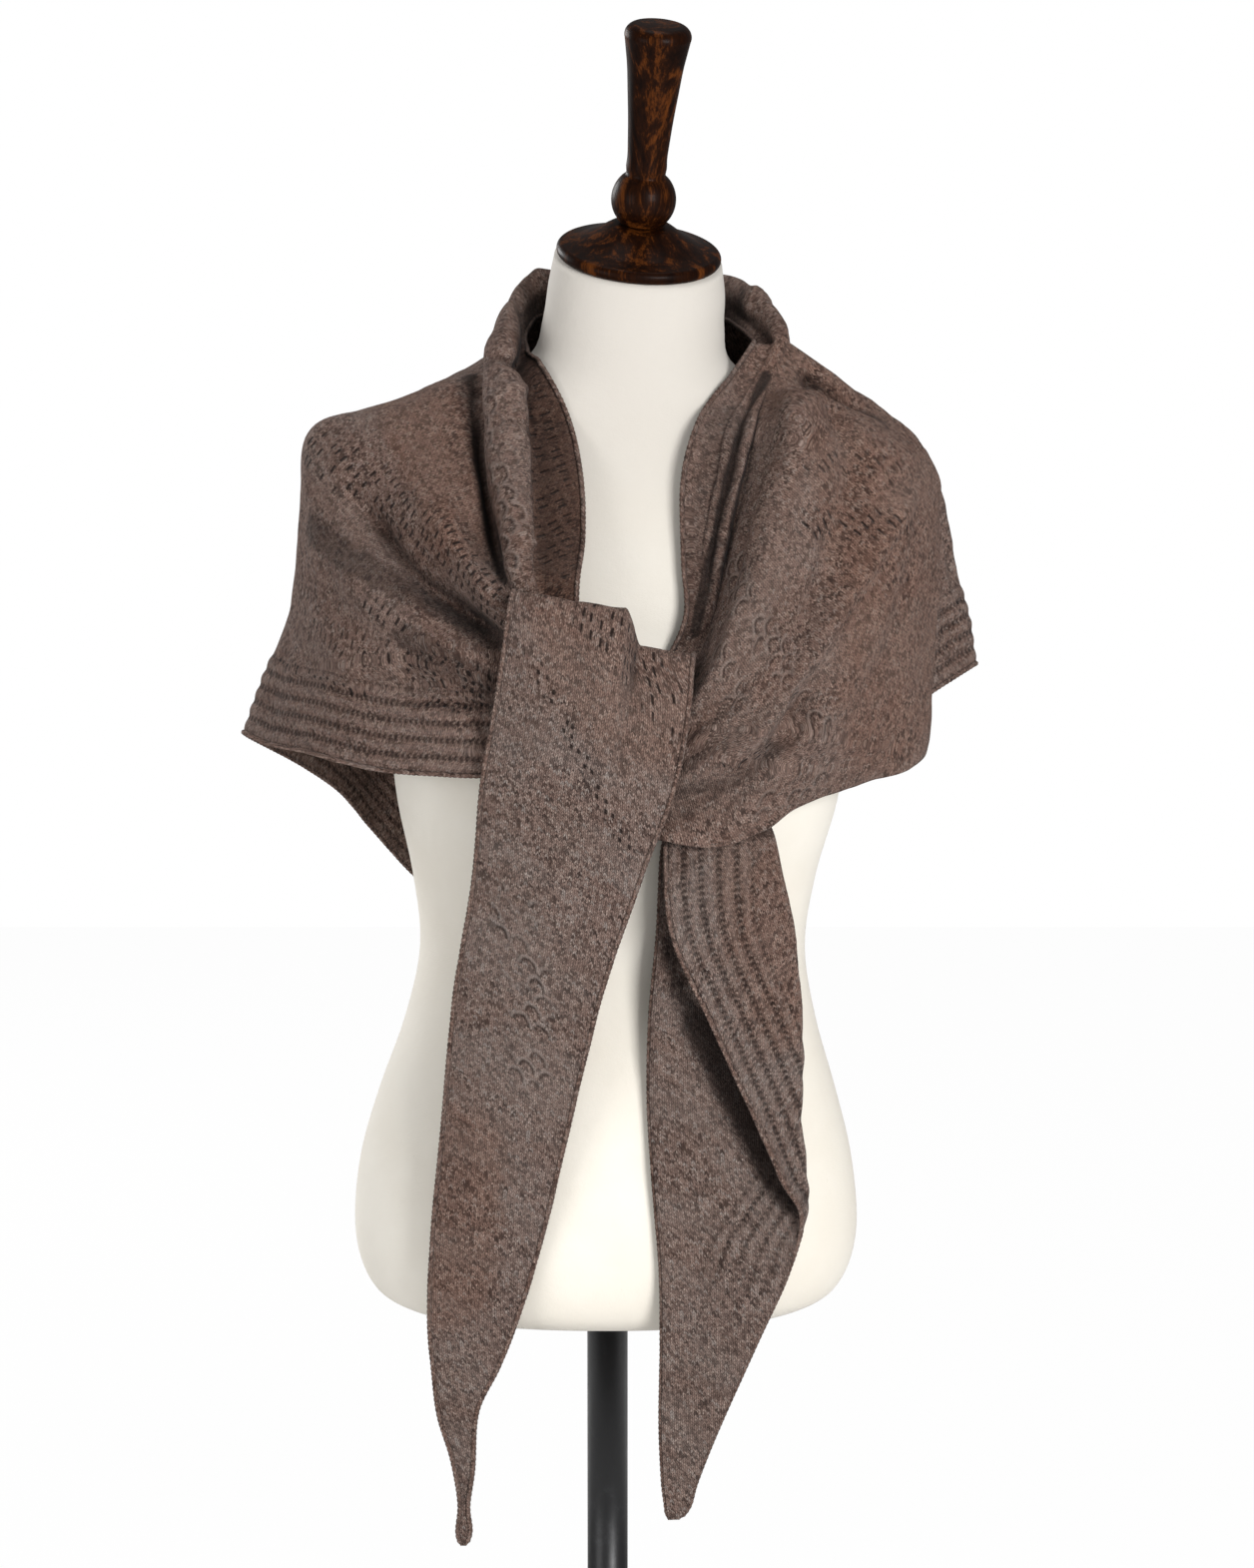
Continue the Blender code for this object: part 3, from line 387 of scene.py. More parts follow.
# Folds of the panels: a line through stops (station, column) on the cloth, its half width
# and its height out of the cloth, which is below 0 for a trough. First come the solids'
# own, and then the creases: between those folds, at the shoulders, at the knot, and at
# last the soft ones down the back.
Fold = namedtuple("Fold", "line width height")
FOLDS = [
    Fold([(4.6, 2.3), (3.2, 2.4), (2.0, 2.4), (1.0, 2.2)], 12, -13),
    Fold([(3.8, 1.7), (2.2, 1.5), (1.1, 1.3)], 9, 9),
    Fold([(4.6, 3.0), (3.2, 3.2), (1.9, 3.2), (1.0, 3.0)], 13, 8),
    Fold([(2.6, 3.6), (1.6, 4.0), (0.9, 4.0)], 11, -8),
    Fold([(6.9, 2.0), (6.8, 3.4), (6.6, 5.6)], 13, -7),
    Fold([(7.9, 1.8), (7.6, 4.0), (7.4, 6.0)], 17, 7),
    Fold([(8.5, 1.6), (8.3, 4.0), (8.3, 6.0)], 16, -6),
    Fold([(9.3, 2.4), (9.2, 4.4), (9.2, 6.0)], 18, 6),
    Fold([(9.9, 1.8), (9.8, 4.0), (9.8, 6.0)], 16, -6),
    Fold([(10.5, 1.8), (10.5, 4.0), (10.5, 6.0)], 17, 7),
    Fold([(14.6, 0.5), (16.0, 1.1), (17.2, 1.4), (18.3, 1.5), (19.2, 1.7)], 11, 9),
    Fold([(15.0, 0.6), (15.5, 1.2), (16.1, 2.0), (17.0, 2.6), (17.8, 3.0)], 12, -11),
    Fold([(17.2, 3.5), (18.2, 3.75), (19.0, 4.05), (19.6, 4.3), (20, 4.5)], 9, -9),
    Fold([(15.2, 2.6), (16.2, 3.4), (17.2, 4.1), (18.4, 4.3)], 13, 4),
    Fold([(4.9, 0.9), (3.4, 1.0), (2.1, 0.8), (1.2, 0.6)], 6, -2.5),
    Fold([(3.4, 2.0), (2.2, 2.0), (1.2, 1.8)], 5, -2),
    Fold([(3.9, 2.8), (2.6, 2.8), (1.4, 2.65)], 5, 2.2),
    Fold([(4.8, 3.7), (3.4, 4.1), (2.2, 4.3), (1.3, 4.6)], 8, 2.4),
    Fold([(3.0, 3.4), (2.0, 3.5), (1.0, 3.45)], 5, -2),
    Fold([(5.8, 1.6), (5.2, 2.6), (4.4, 3.6)], 9, 2.2),
    Fold([(6.3, 2.4), (5.9, 3.6), (5.7, 5.0)], 10, -2.4),
    Fold([(7.2, 0.9), (7.3, 1.8), (7.3, 3.0)], 8, 2),
    Fold([(8.9, 0.6), (8.9, 1.6), (8.8, 3.2)], 8, 2.2),
    Fold([(9.5, 0.5), (9.5, 1.4), (9.55, 2.8)], 7, -2.2),
    Fold([(11.2, 1.2), (11.3, 3.0), (11.2, 5.2)], 11, -3),
    Fold([(12.5, 1.8), (12.5, 3.4), (12.4, 5.2)], 9, -3),
    Fold([(14.9, 2.0), (15.6, 3.2), (16.6, 4.2)], 8, -2.4),
    Fold([(16.2, 0.6), (17.2, 0.7), (18.4, 0.8), (19.4, 1.0)], 5, -2.2),
    Fold([(17.0, 2.0), (18.0, 2.1), (19.0, 2.3), (19.7, 2.6)], 6, -3),
    Fold([(17.8, 2.6), (18.6, 2.7), (19.5, 3.0)], 5, 2.6),
    Fold([(18.0, 3.2), (18.8, 3.3), (19.7, 3.7)], 5, 2),
    Fold([(14.2, 3.4), (14.8, 4.6)], 9, 2),
    Fold([(4.6, 2.3), (3.2, 2.45), (2.0, 2.45), (1.0, 2.2)], 6, -7),
    Fold([(4.2, 1.5), (2.6, 1.35), (1.2, 1.2)], 6, 4),
    Fold([(5.0, 0.12), (3.6, 0.12), (2.2, 0.12), (1.2, 0.1)], 4, -4),
    Fold([(14.4, 0.2), (14.65, 0.45), (14.65, 0.75), (14.4, 1.1)], 9, -11),
    Fold([(15.3, 0.1), (15.6, 0.5), (16.0, 0.9), (16.6, 1.3)], 6, 5),
    Fold([(20.0, 3.2), (19.2, 3.0), (18.4, 2.7)], 4, -4),
    Fold([(20.0, 3.8), (19.3, 3.6), (18.6, 3.3)], 4, 3.5),
    Fold([(20.0, 2.4), (19.3, 2.2), (18.4, 1.9)], 4, -3.5),
    Fold([(20.0, 1.6), (19.2, 1.4), (18.2, 1.1)], 4, 3),
    Fold([(0.4, 1.7), (1.4, 1.9), (2.4, 2.0)], 4, 3),
    Fold([(0.4, 3.0), (1.3, 3.2), (2.4, 3.5)], 5, -3.5),
    Fold([(0.4, 3.9), (1.2, 4.1), (2.0, 4.5)], 5, 3),
    Fold([(15.0, 2.5), (16.4, 3.0), (17.8, 3.3), (19.2, 3.7)], 7, 7),
    Fold([(17.4, 3.9), (18.4, 4.1), (19.4, 4.5)], 4, -4),
    Fold([(6.6, 0.8), (6.7, 2.0), (6.5, 4.0)], 8, -7.2),
    Fold([(7.4, 0.6), (7.2, 2.2), (6.9, 4.4)], 8, 6.4),
    Fold([(8.0, 0.5), (7.9, 1.8), (7.6, 3.6), (7.4, 5.0)], 9, -8),
    Fold([(8.6, 0.5), (8.5, 2.0), (8.2, 4.4)], 8, 7.2),
    Fold([(9.1, 0.5), (9.1, 1.8), (9.0, 3.4)], 7, -7.2),
    Fold([(9.7, 0.5), (9.8, 2.2), (10.0, 4.6)], 9, 8),
    Fold([(10.3, 0.5), (10.5, 1.6), (10.8, 3.2), (11.0, 4.8)], 8, -8),
    Fold([(10.9, 0.6), (11.3, 1.8), (11.7, 3.4)], 8, 6.4),
    Fold([(11.8, 0.8), (12.0, 2.2), (12.2, 4.0)], 9, -6.4),
    Fold([(12.8, 1.4), (12.8, 2.8), (12.9, 4.6)], 6, 3.5),
]
FOLD_ENDS = (5, 0.15, 4, 0.25)     # how a fold fades in and out: slope and start of each
# The collar's own creases, through stops (level, station).
COLLAR_FOLDS = [
    Fold([(-0.12, 14.9), (-0.12, 16.4), (-0.15, 17.5), (-0.17, 19.0)], 3.2, -6),
    Fold([(-0.06, 15.1), (-0.07, 16.4), (-0.10, 17.5), (-0.12, 19.0)], 4, 4.5),
    Fold([(-0.22, 1.2), (-0.24, 2.4), (-0.23, 4.2)], 3.5, -3),
    Fold([(-0.30, 5.3), (-0.20, 4.8), (-0.07, 4.9)], 5, -5),
    Fold([(-0.27, 4.4), (-0.15, 4.3), (-0.05, 4.0)], 4, 3),
    Fold([(-0.27, 3.5), (-0.17, 3.8), (-0.06, 3.7)], 4, -3.5),
    Fold([(-0.25, 2.5), (-0.15, 2.9), (-0.06, 2.8)], 4, -2.5),
    Fold([(-0.25, 1.6), (-0.15, 2.0), (-0.06, 1.9)], 3.5, 2.5),
    Fold([(-0.28, 6.6), (-0.16, 7.0), (-0.04, 6.8)], 6, -3.5),
    Fold([(-0.26, 8.2), (-0.14, 8.0), (-0.03, 8.4)], 6, 3),
    Fold([(-0.27, 9.5), (-0.15, 9.8), (-0.04, 9.6)], 6, -3.5),
    Fold([(-0.27, 11.2), (-0.15, 11.0), (-0.04, 11.4)], 6, 3),
    Fold([(-0.20, 15.6), (-0.21, 17.0), (-0.22, 18.6)], 4, 2.5),
]
CREASE_ENDS = (4, 0.1, 4, 0.1)


def collar_section(row):
    """The collar's section at one station, from its free edge to its foot."""
    heading, lean = math.radians(row.heading), math.radians(row.lean)
    across = np.array((math.cos(heading), math.sin(heading), 0))
    sideways = np.array((across[1], -across[0], 0))
    if sideways @ (row.x - 18, row.y - 10, 0) <= 0:     # it has to point away from the neck
        sideways = -sideways
    out = sideways * math.cos(lean) + (0, 0, math.sin(lean))
    width, height = row.roll_width, row.roll_height
    roll = min(1, height / (FULL_ROLL * width))     # 0 for a flat strip, 1 for a full roll

    def share(flat, rolled):
        return flat + (rolled - flat) * roll

    hangs = 1 - min(1, row.flap / FLAT_FLAP)        # 0 for a flap that lies flat
    drop = 0.72 * height - row.flap_out
    groove = row.flap_out * 0.3 * (1 - hangs) + (row.flap_out + 0.6 * drop) * hangs
    middle = row.flap_out * 0.65 * (1 - hangs) + (row.flap_out + 0.3 * drop) * hangs
    section = [
        (width + row.flap, row.flap_out),
        (width + row.flap * 0.5, middle),
        (width, groove),
        (width * share(0.80, 0.97), height * share(0.8, 0.72)),
        (width * share(0.56, 0.52), height),
        (width * share(0.28, 0.08), height * share(0.8, 0.70)),
        (0, 0),
    ]
    return [at((row.x, row.y, row.h) + across * reach + out * rise) for reach, rise in section]


def panel_lines(net, stations):
    """Points from the collar's foot to the hem at each station, the border's evenly spaced,
    with each row's share of the way down the border, 0 above it."""
    fine = refined(between(net, stations).swapaxes(0, 1), 121)
    along = lengths(fine)
    below = np.concatenate([np.linspace(0, 1, PANEL_ROWS + 1)[1:], np.ones(BORDER_ROWS)])
    share = np.concatenate([np.zeros(PANEL_ROWS), np.linspace(0, 1, BORDER_ROWS + 1)[1:]])
    grid = np.empty((PANEL_ROWS + BORDER_ROWS, len(stations), 3))
    widths = np.minimum(RIB_PITCH * RIB_COUNT * MM, 0.5 * along[-1])
    for j, width in enumerate(widths):
        wanted = (along[-1, j] - width) * below + width * share
        for axis in range(3):
            grid[:, j, axis] = np.interp(wanted, along[:, j], fine[:, j, axis])
    return grid, share


def outward(grid, sense):
    """Directions out of a grid's face. Its rows run down, and its columns run to the
    wearer's left where sense is 1, and to their right where it is -1."""
    down, across = np.gradient(grid, axis=0), np.gradient(grid, axis=1)
    return unit(np.cross(down, across)) * sense


def distance_to_line(points, line):
    """Distance of each point from a chain of points, and how far along it, 0 to 1."""
    best = np.full(points.shape[:-1], 1e9)
    place = np.zeros_like(best)
    for k, (a, b) in enumerate(zip(line, line[1:])):
        span = b - a
        t = np.clip((points - a) @ span / (span @ span), 0, 1)
        away = np.linalg.norm(points - (a + t[..., None] * span), axis=-1)
        nearer = away < best
        best[nearer] = away[nearer]
        place[nearer] = ((k + t) / (len(line) - 1))[nearer]
    return best, place


def raised(grid, sense, folds, lines, ends):
    """A grid with folds along lines raised or sunk, each fading at its ends."""
    rise_in, start_in, rise_out, start_out = ends
    height = np.zeros(grid.shape[:2])
    for fold, line in zip(folds, lines):
        away, place = distance_to_line(grid, line)
        fade = np.minimum(rise_in * place + start_in, rise_out * (1 - place) + start_out)
        fade = np.minimum(1, fade)
        height += fold.height * np.exp(-(away / (fold.width * MM)) ** 2) * fade
    return grid + outward(grid, sense) * height[..., None] * MM


def fold_places(fold):
    """Places along a fold's line, six to each of its spans, in its own two measures."""
    return refined(fold.line, 6 * len(fold.line) - 5)


def folded(grid, net):
    """The panels with the folds of their table, whose lines lie on the panels' net."""
    lines = [[between(between(net, [station])[0], [column])[0]
              for station, column in fold_places(fold)] for fold in FOLDS]
    return raised(grid, -1, FOLDS, lines, FOLD_ENDS)


def creased(grid, rows, columns, folds, sense):
    """A grid with creases along lines given in its own rows and columns."""
    places = [fold_places(fold) for fold in folds]
    lines = [grid[nearest(rows, p[:, 0]), nearest(columns, p[:, 1])] for p in places]
    return raised(grid, sense, folds, lines, CREASE_ENDS)


Wave = namedtuple("Wave", "size height seed")
WORN_WAVES = [Wave(34, 1.6, 1), Wave(11, 0.5, 2)]
END_WAVES = [Wave(30, 1.4, 5), Wave(10, 0.45, 6)]


def uneven(grid, waves):
    """Soft random rises of each wave's size, as heights in metres."""
    total = 0
    for wave in waves:
        shift = Vector((wave.seed * 7.3, wave.seed * 3.1, wave.seed * 5.7))
        flat = grid.reshape(-1, 3) / (wave.size * MM)
        values = np.array([noise.noise(Vector(p) + shift) for p in flat])
        total = total + values.reshape(grid.shape[:2]) * wave.height * MM
    return total


def clear_of(grid, tree, depth):
    """Points moved out until they are depth away from a closed solid."""
    moved = grid.reshape(-1, 3).copy()
    for k, p in enumerate(moved):
        spot, normal, _, _ = tree.find_nearest(Vector(p))
        away = (Vector(p) - spot).dot(normal)
        if away < depth:
            moved[k] = Vector(p) + normal * (depth - away)
    return moved.reshape(grid.shape)


def in_front_of(grid, trees, depth):
    """Points moved to the front until they are depth before what lies behind them."""
    reach = 0.3
    moved = grid.reshape(-1, 3).copy()
    for p in moved:
        for tree in trees:
            start = Vector((p[0], p[1] - reach, p[2]))
            spot, _, _, _ = tree.ray_cast(start, Vector((0, 1, 0)), reach + 0.05)
            if spot is not None:
                p[1] = min(p[1], spot.y - depth)
    return moved.reshape(grid.shape)


def tree_of(thing):
    mesh = thing.data
    return BVHTree.FromPolygons([v.co for v in mesh.vertices],
                                [tuple(f.vertices) for f in mesh.polygons])


def both_layers(values):
    """A grid's values for its face, followed by those of every second point for its back."""
    return np.concatenate([layer.reshape(-1, *values.shape[2:])
                           for layer in (values, values[::2, ::2])])


def rim_of(numbers):
    """A grid's numbers round its rim."""
    return [*numbers[:, 0], *numbers[-1, 1:], *numbers[-2::-1, -1], *numbers[0, -2:0:-1]]


def cloth(name, face, back, uv, look, marks, sense):
    """Closed cloth from grids for its face and its back, which has every second point.
    Both have an odd number of rows and columns."""
    back = back[::2, ::2]
    number = np.arange(face[..., 0].size).reshape(face.shape[:2])
    number_b = number.size + np.arange(back[..., 0].size).reshape(back.shape[:2])

    def quads(n):
        return np.stack([n[:-1, :-1], n[1:, :-1], n[1:, 1:], n[:-1, 1:]], axis=-1).reshape(-1, 4)

    faces = [tuple(q) for q in quads(number).tolist()]
    faces += [tuple(q[::-1]) for q in quads(number_b).tolist()]
    rim, rim_b = rim_of(number), rim_of(number_b)
    for k, c in enumerate(rim_b):
        a, m, b = rim[2 * k], rim[2 * k + 1], rim[(2 * k + 2) % len(rim)]
        d = rim_b[(k + 1) % len(rim_b)]
        faces += [tuple(map(int, t)) for t in ((m, a, c), (m, c, d), (b, m, d))]
    if sense < 0:
        faces = [f[::-1] for f in faces]
    points = np.concatenate([face.reshape(-1, 3), back.reshape(-1, 3)])
    both = {key: both_layers(values) for key, values in marks.items()}
    return mesh_object(name, points, faces, look, both_layers(uv), both)


# Lines of marks on the cloth: through stops (station, level), the half width in
# millimetres, and how strong the mark is, 0 to 1.
Trace = namedtuple("Trace", "mark line width strength")
WORN_TRACES = [
    Trace("dashes", [(5.3, 0.33), (4.5, 0.30), (3.4, 0.27), (2.1, 0.18), (1.2, 0.22)], 19, 1),
    Trace("dashes", [(3.4, 0.50), (2.6, 0.50), (2.0, 0.52), (1.2, 0.62)], 8, 1),
    Trace("dashes", [(5.0, 0.58), (4.0, 0.63), (3.2, 0.61), (2.4, 0.60)], 12, 0.8),
    Trace("holes", [(2.4, 0.62), (1.7, 0.61), (1.2, 0.70)], 13, 1),
    Trace("holes", [(5.4, 0.70), (4.2, 0.73), (3.0, 0.74), (1.4, 0.76)], 5, 1),
    Trace("scales", [(4.4, -0.12), (3.0, -0.12), (1.4, -0.10)], 15, 0.8),
    Trace("dashes", [(5.0, -0.30), (3.4, -0.32), (1.2, -0.34)], 15, 0.9),
    Trace("dashes", [(16.4, 0.15), (15.8, 0.22), (15.1, 0.27)], 9, 0.8),
    Trace("dashes", [(16.7, 0.23), (16.2, 0.31), (15.5, 0.36)], 12, 1),
    Trace("holes", [(16.2, 0.40), (15.6, 0.44)], 3, 1),
    Trace("scales", [(17.9, 0.02), (18.3, 0.17), (18.3, 0.30), (17.8, 0.47), (17.3, 0.61)], 14, 1),
    Trace("scales", [(19.1, 0.17), (19.1, 0.44)], 10, 1),
    Trace("scales", [(18.6, 0.77), (16.9, 0.80)], 10, 0.8),
    Trace("dashes", [(19.3, 0.60), (18.5, 0.58)], 7, 1),
    Trace("holes", [(12.6, 0.30), (9.0, 0.22), (6.0, 0.28)], 7, 1),
    Trace("dashes", [(12.6, 0.44), (9.0, 0.34), (6.0, 0.42)], 11, 1),
    Trace("scales", [(11.6, 0.62), (9.6, 0.52), (8.4, 0.52), (6.8, 0.62)], 15, 0.9),
    Trace("holes", [(12.2, 0.76), (9.0, 0.80), (6.2, 0.74)], 5, 1),
    Trace("shade", [(5.2, 0.02), (3.9, 0.01), (2.4, 0.01), (1.2, 0.03)], 5.5, 0.85),
    Trace("shade", [(5.0, 0.44), (4.0, 0.44), (2.8, 0.41), (1.9, 0.38), (1.2, 0.38)], 11, 0.6),
    Trace("shade", [(5.6, -0.38), (4.4, -0.34), (2.6, -0.34), (1.0, -0.36)], 20, 0.62),
    Trace("shade", [(14.45, 0.05), (14.6, 0.09), (14.6, 0.13), (14.45, 0.17)], 10, 0.75),
    Trace("shade", [(14.9, -0.125), (16.4, -0.13), (17.5, -0.16), (19.2, -0.18)], 4.4, 1),
    Trace("shade", [(16.0, -0.28), (17.6, -0.26), (19.2, -0.26)], 14, 0.35),
    Trace("shade", [(2.2, 0.53), (1.6, 0.58), (1.0, 0.70)], 12, 0.5),
    Trace("shade", [(18.2, 0.62), (19.2, 0.68), (19.6, 0.74), (20.0, 0.80)], 5.5, 0.5),
    Trace("shade", [(5.2, -0.30), (4.8, -0.18), (4.8, -0.08)], 4, 0.6),
    # painted shade: the cast is laid on strongly here to darken the front of the wearer's left
    # shoulder, where the key lamp falls strongest
    Trace("cast_and_shade", [(14.6, 0.10), (15.4, 0.30), (15.8, 0.60)], 84, 0.72),
    Trace("cast_and_shade", [(5.4, 0.12), (4.0, 0.12), (2.2, 0.10)], 34, 0.75),
    Trace("cast_and_shade", [(5.4, -0.34), (3.0, -0.34), (1.0, -0.36)], 24, 1),
    Trace("cast_and_shade", [(11.6, 0.30), (9.4, 0.36), (7.4, 0.28)], 50, 0.6),
]


def marks_on(grid, rows, columns, traces, cast):
    """How much of each mark there is at each point of a grid, 0 to 1, the reddish cast never less
    than cast."""
    found = {key: np.zeros(grid.shape[:2]) for key in MARKS}
    found["cast_and_shade"] += cast
    for item in traces:
        along, level = np.array(item.line).T
        away, _ = distance_to_line(grid, grid[nearest(rows, level), nearest(columns, along)])
        share = 1 - smooth_step(0.6 * item.width * MM, 1.2 * item.width * MM, away)
        found[item.mark] = np.maximum(found[item.mark], share * item.strength)
    return found


def worn_grid(form_tree):
    """The worn cloth's points, with each column's station, each row's level, and the share
    of the way down the border of each row below the collar."""
    collar_net = np.array([collar_section(row) for row in COLLAR])
    panel_net = np.array([[c[-1], *at(row[1:])] for c, row in zip(collar_net, PANEL)])
    stations = even_rows(panel_net, SPACED_COLUMN)
    collar = refined(between(collar_net, stations).swapaxes(0, 1), COLLAR_ROWS + 1)
    panels, share = panel_lines(panel_net, stations)
    panels = folded(np.concatenate([collar[-1:], panels]), panel_net)
    level = np.concatenate([np.linspace(FREE_EDGE, 0, COLLAR_ROWS + 1),
                            np.arange(1, len(share) + 1) / len(share)])
    grid = creased(np.concatenate([collar, panels[1:]]), level, stations, COLLAR_FOLDS, -1)
    for _ in range(2):
        grid = clear_of(grid, form_tree, (WALL + FORM_GAP) * MM)
    return grid, stations, level, share


def worn_cloth(form_tree, look):
    """The part of the scarf that is worn, from the collar's free edge to the hem."""
    grid, stations, level, share = worn_grid(form_tree)
    shape = grid.shape[:2]
    flat = flattened(grid)
    row = COLLAR_ROWS + PANEL_ROWS // 3
    right_uv, left_uv = (along_row(flat, row, *np.searchsorted(stations, ends))
                         for ends in (RIGHT_LEVEL, LEFT_LEVEL))
    border = np.zeros(len(grid))
    border[-len(share):] = share
    ends = 1 - smooth_step(*BORDER_FADE, stations)
    rib = rib_heights(border)[:, None] * ends
    out = outward(grid, -1)
    soft = uneven(grid, WORN_WAVES)
    face = grid + out * (rib + soft)[..., None]
    back = grid - out * WALL * MM + out * soft[..., None]
    marks = marks_on(grid, level, stations, WORN_TRACES, WORN_CAST)
    marks["border"] = (border > 0)[:, None] * ends
    marks["rib"] = np.broadcast_to(border[:, None] * RIB_COUNT, shape)
    marks["hem"] = np.broadcast_to(lengths(grid[-1]), shape)
    made = cloth("scarf_worn", face, back, right_uv, look, marks, -1)
    spine = np.searchsorted(stations, STATION["nape"])
    beyond = np.broadcast_to(np.arange(len(stations)) > spine, shape)
    other_half(made, both_layers(left_uv), both_layers(beyond))
    return made, face


def rib_heights(share):
    """Heights of the border's ridges at shares of the way down it, in metres."""
    wave = 0.5 - 0.5 * np.cos(2 * math.pi * RIB_COUNT * share)
    return RIB_HEIGHT * MM * wave ** 0.7 * (share > 0)


def flattened(grid):
    """The cloth laid flat, as (x, y) in metres for each point. It starts as a ring's
    sector, and its edges and diagonals are then drawn to their true lengths."""
    net = grid[::FLAT_THIN, ::FLAT_THIN]
    down = lengths(net)
    inner, outer = (lengths(net[k])[-1] for k in (0, -1))
    angle = (outer - inner) / down[-1].mean()
    turn = np.linspace(-angle / 2, angle / 2, net.shape[1])
    radius = inner / angle + down
    flat = np.stack([radius * np.sin(turn), -radius * np.cos(turn)], axis=-1)
    ties = []
    for di, dj in ((0, 1), (1, 0), (1, 1), (1, -1)):
        for first in (0, 1):
            columns = range(max(0, -dj), net.shape[1] - max(0, dj))
            i, j = np.meshgrid(range(net.shape[0] - di), columns, indexing="ij")
            picked = (i if di else j) % 2 == first
            i, j = i[picked], j[picked]
            true = np.linalg.norm(net[i + di, j + dj] - net[i, j], axis=-1)
            ties.append((i, j, i + di, j + dj, true))
    for step in range(FLATTEN_STEPS):
        if step % SMOOTH_EVERY == 0:
            mean = 0.25 * (flat[:-2, 1:-1] + flat[2:, 1:-1] + flat[1:-1, :-2] + flat[1:-1, 2:])
            flat[1:-1, 1:-1] += 0.5 * (mean - flat[1:-1, 1:-1])
        for i, j, k, m, true in ties:
            span = flat[k, m] - flat[i, j]
            length = np.linalg.norm(span, axis=-1)
            move = span * (FLATTEN_PULL * (length - true) / length)[:, None]
            flat[i, j] += move
            flat[k, m] -= move
    rows, columns = np.arange(grid.shape[0]), np.arange(grid.shape[1])
    fine = spline(rows[::FLAT_THIN], flat, rows)
    return spline(columns[::FLAT_THIN], fine.swapaxes(0, 1), columns).swapaxes(0, 1)


def along_row(flat, row, start, end):
    """Places in the knitting, in metres, with the rows run the way that one row does."""
    x, y = flat[row, end] - flat[row, start]
    turn = np.array(((x, -y), (y, x))) / math.hypot(x, y)
    return flat @ turn


def other_half(made, pairs, beyond):
    """Other knitting coordinates for the faces that have a corner beyond the middle."""
    mesh = made.data
    corners = corner_points(mesh)
    totals = np.empty(len(mesh.polygons), dtype=np.int32)
    mesh.polygons.foreach_get("loop_total", totals)
    face = np.repeat(np.arange(len(totals)), totals)
    chosen = np.zeros(len(totals), bool)
    np.logical_or.at(chosen, face, beyond[corners])
    layer = mesh.uv_layers["cloth"].data
    values = np.empty(len(corners) * 2, np.float32)
    layer.foreach_get("uv", values)
    values = values.reshape(-1, 2)
    values[chosen[face]] = pairs[corners[chosen[face]]]
    layer.foreach_set("uv", values.ravel())


EDGE_RADIUS = 1.7
EDGE_LOOP = 3.6          # from one loop of the knitting's edge to the next
EDGE_TAPER = 4           # length of the thin part at each end
EDGE_SIDES = 6


def edging(name, line, look):
    """The looped edge of the knitting: a thin cord with a bump for each edge stitch."""
    along = lengths(line)
    where = np.linspace(0, along[-1], int(along[-1] / (EDGE_LOOP * MM / 3)) + 1)
    centre = np.stack([np.interp(where, along, line[:, k]) for k in range(3)], axis=1)
    ahead = unit(np.gradient(centre, axis=0))
    side = unit(np.cross(ahead, (0.3, 1, 0.2)))     # any direction that no edge runs in
    other = np.cross(ahead, side)
    taper = (smooth_step(0, EDGE_TAPER * MM, where)
             * smooth_step(0, EDGE_TAPER * MM, along[-1] - where))
    size = EDGE_RADIUS * MM * (0.82 + 0.3 * np.abs(np.sin(math.pi * where / (EDGE_LOOP * MM))))
    size *= taper * 0.9 + 0.1
    rings = [centre + (side * math.cos(a) + other * math.sin(a)) * size[:, None]
             for a in 2 * math.pi * np.arange(EDGE_SIDES) / EDGE_SIDES]
    return stacked(name, np.stack(rings, axis=1), look, knitted=True)


# The end that falls over the knot, the same as its solid. Each row is a section: its
# edges to the wearer's right and left (x, y, h), how far its middle stands out, and the
# step and drop of the pleat in it.
Band = namedtuple("Band", "right left bulge step drop")
BAND = [
    Band((-56, -152, 499), (55, -130, 457), 5, 8, 24),
    Band((-58, -158, 505), (56, -143, 463), 8, 13, 24),
    Band((-61, -163, 491), (54.5, -153, 452), 8, 14, 18),
    Band((-68, -160, 442), (52, -157, 425), 8, 9, 2),
    Band((-78.5, -152, 383), (43, -155, 376), 8, 3, 0),
    Band((-85, -144, 318), (22, -147, 318), 7, 0, 0),
    Band((-98, -134, 238), (-4, -138, 238), 6, 0, 0),
    Band((-107, -124, 150), (-25, -127, 150), 5, 0, 0),
    Band((-114, -119, 81), (-41, -122, 81), 4, 0, 0),
    Band((-117, -117, 26), (-57, -118, 26), 3, 0, 0),
    Band((-115, -115, -16), (-72, -116, -15), 2, 0, 0),
    Band((-111, -113, -50), (-86, -114, -45), 1, 0, 0),
    Band((-103, -112, -78), (-89, -112, -85), 0, 0, 0),
    Band((-98, -111, -109), (-92.5, -111, -111), 0, 0, 0),
    Band((-99.5, -111, -129), (-91, -111, -128), 0, 0, 0),
    Band((-97.5, -111, -139), (-94, -111, -139), 0, 0, 0),
]
BAND_ROWS = 230
PLEAT_FROM, PLEAT_TO = 0.62, 0.70
PLEAT_MARGIN = 0.01      # how far past the pleat its closer columns reach
BAND_OVER = 2            # the row where the band comes down over what lies behind it
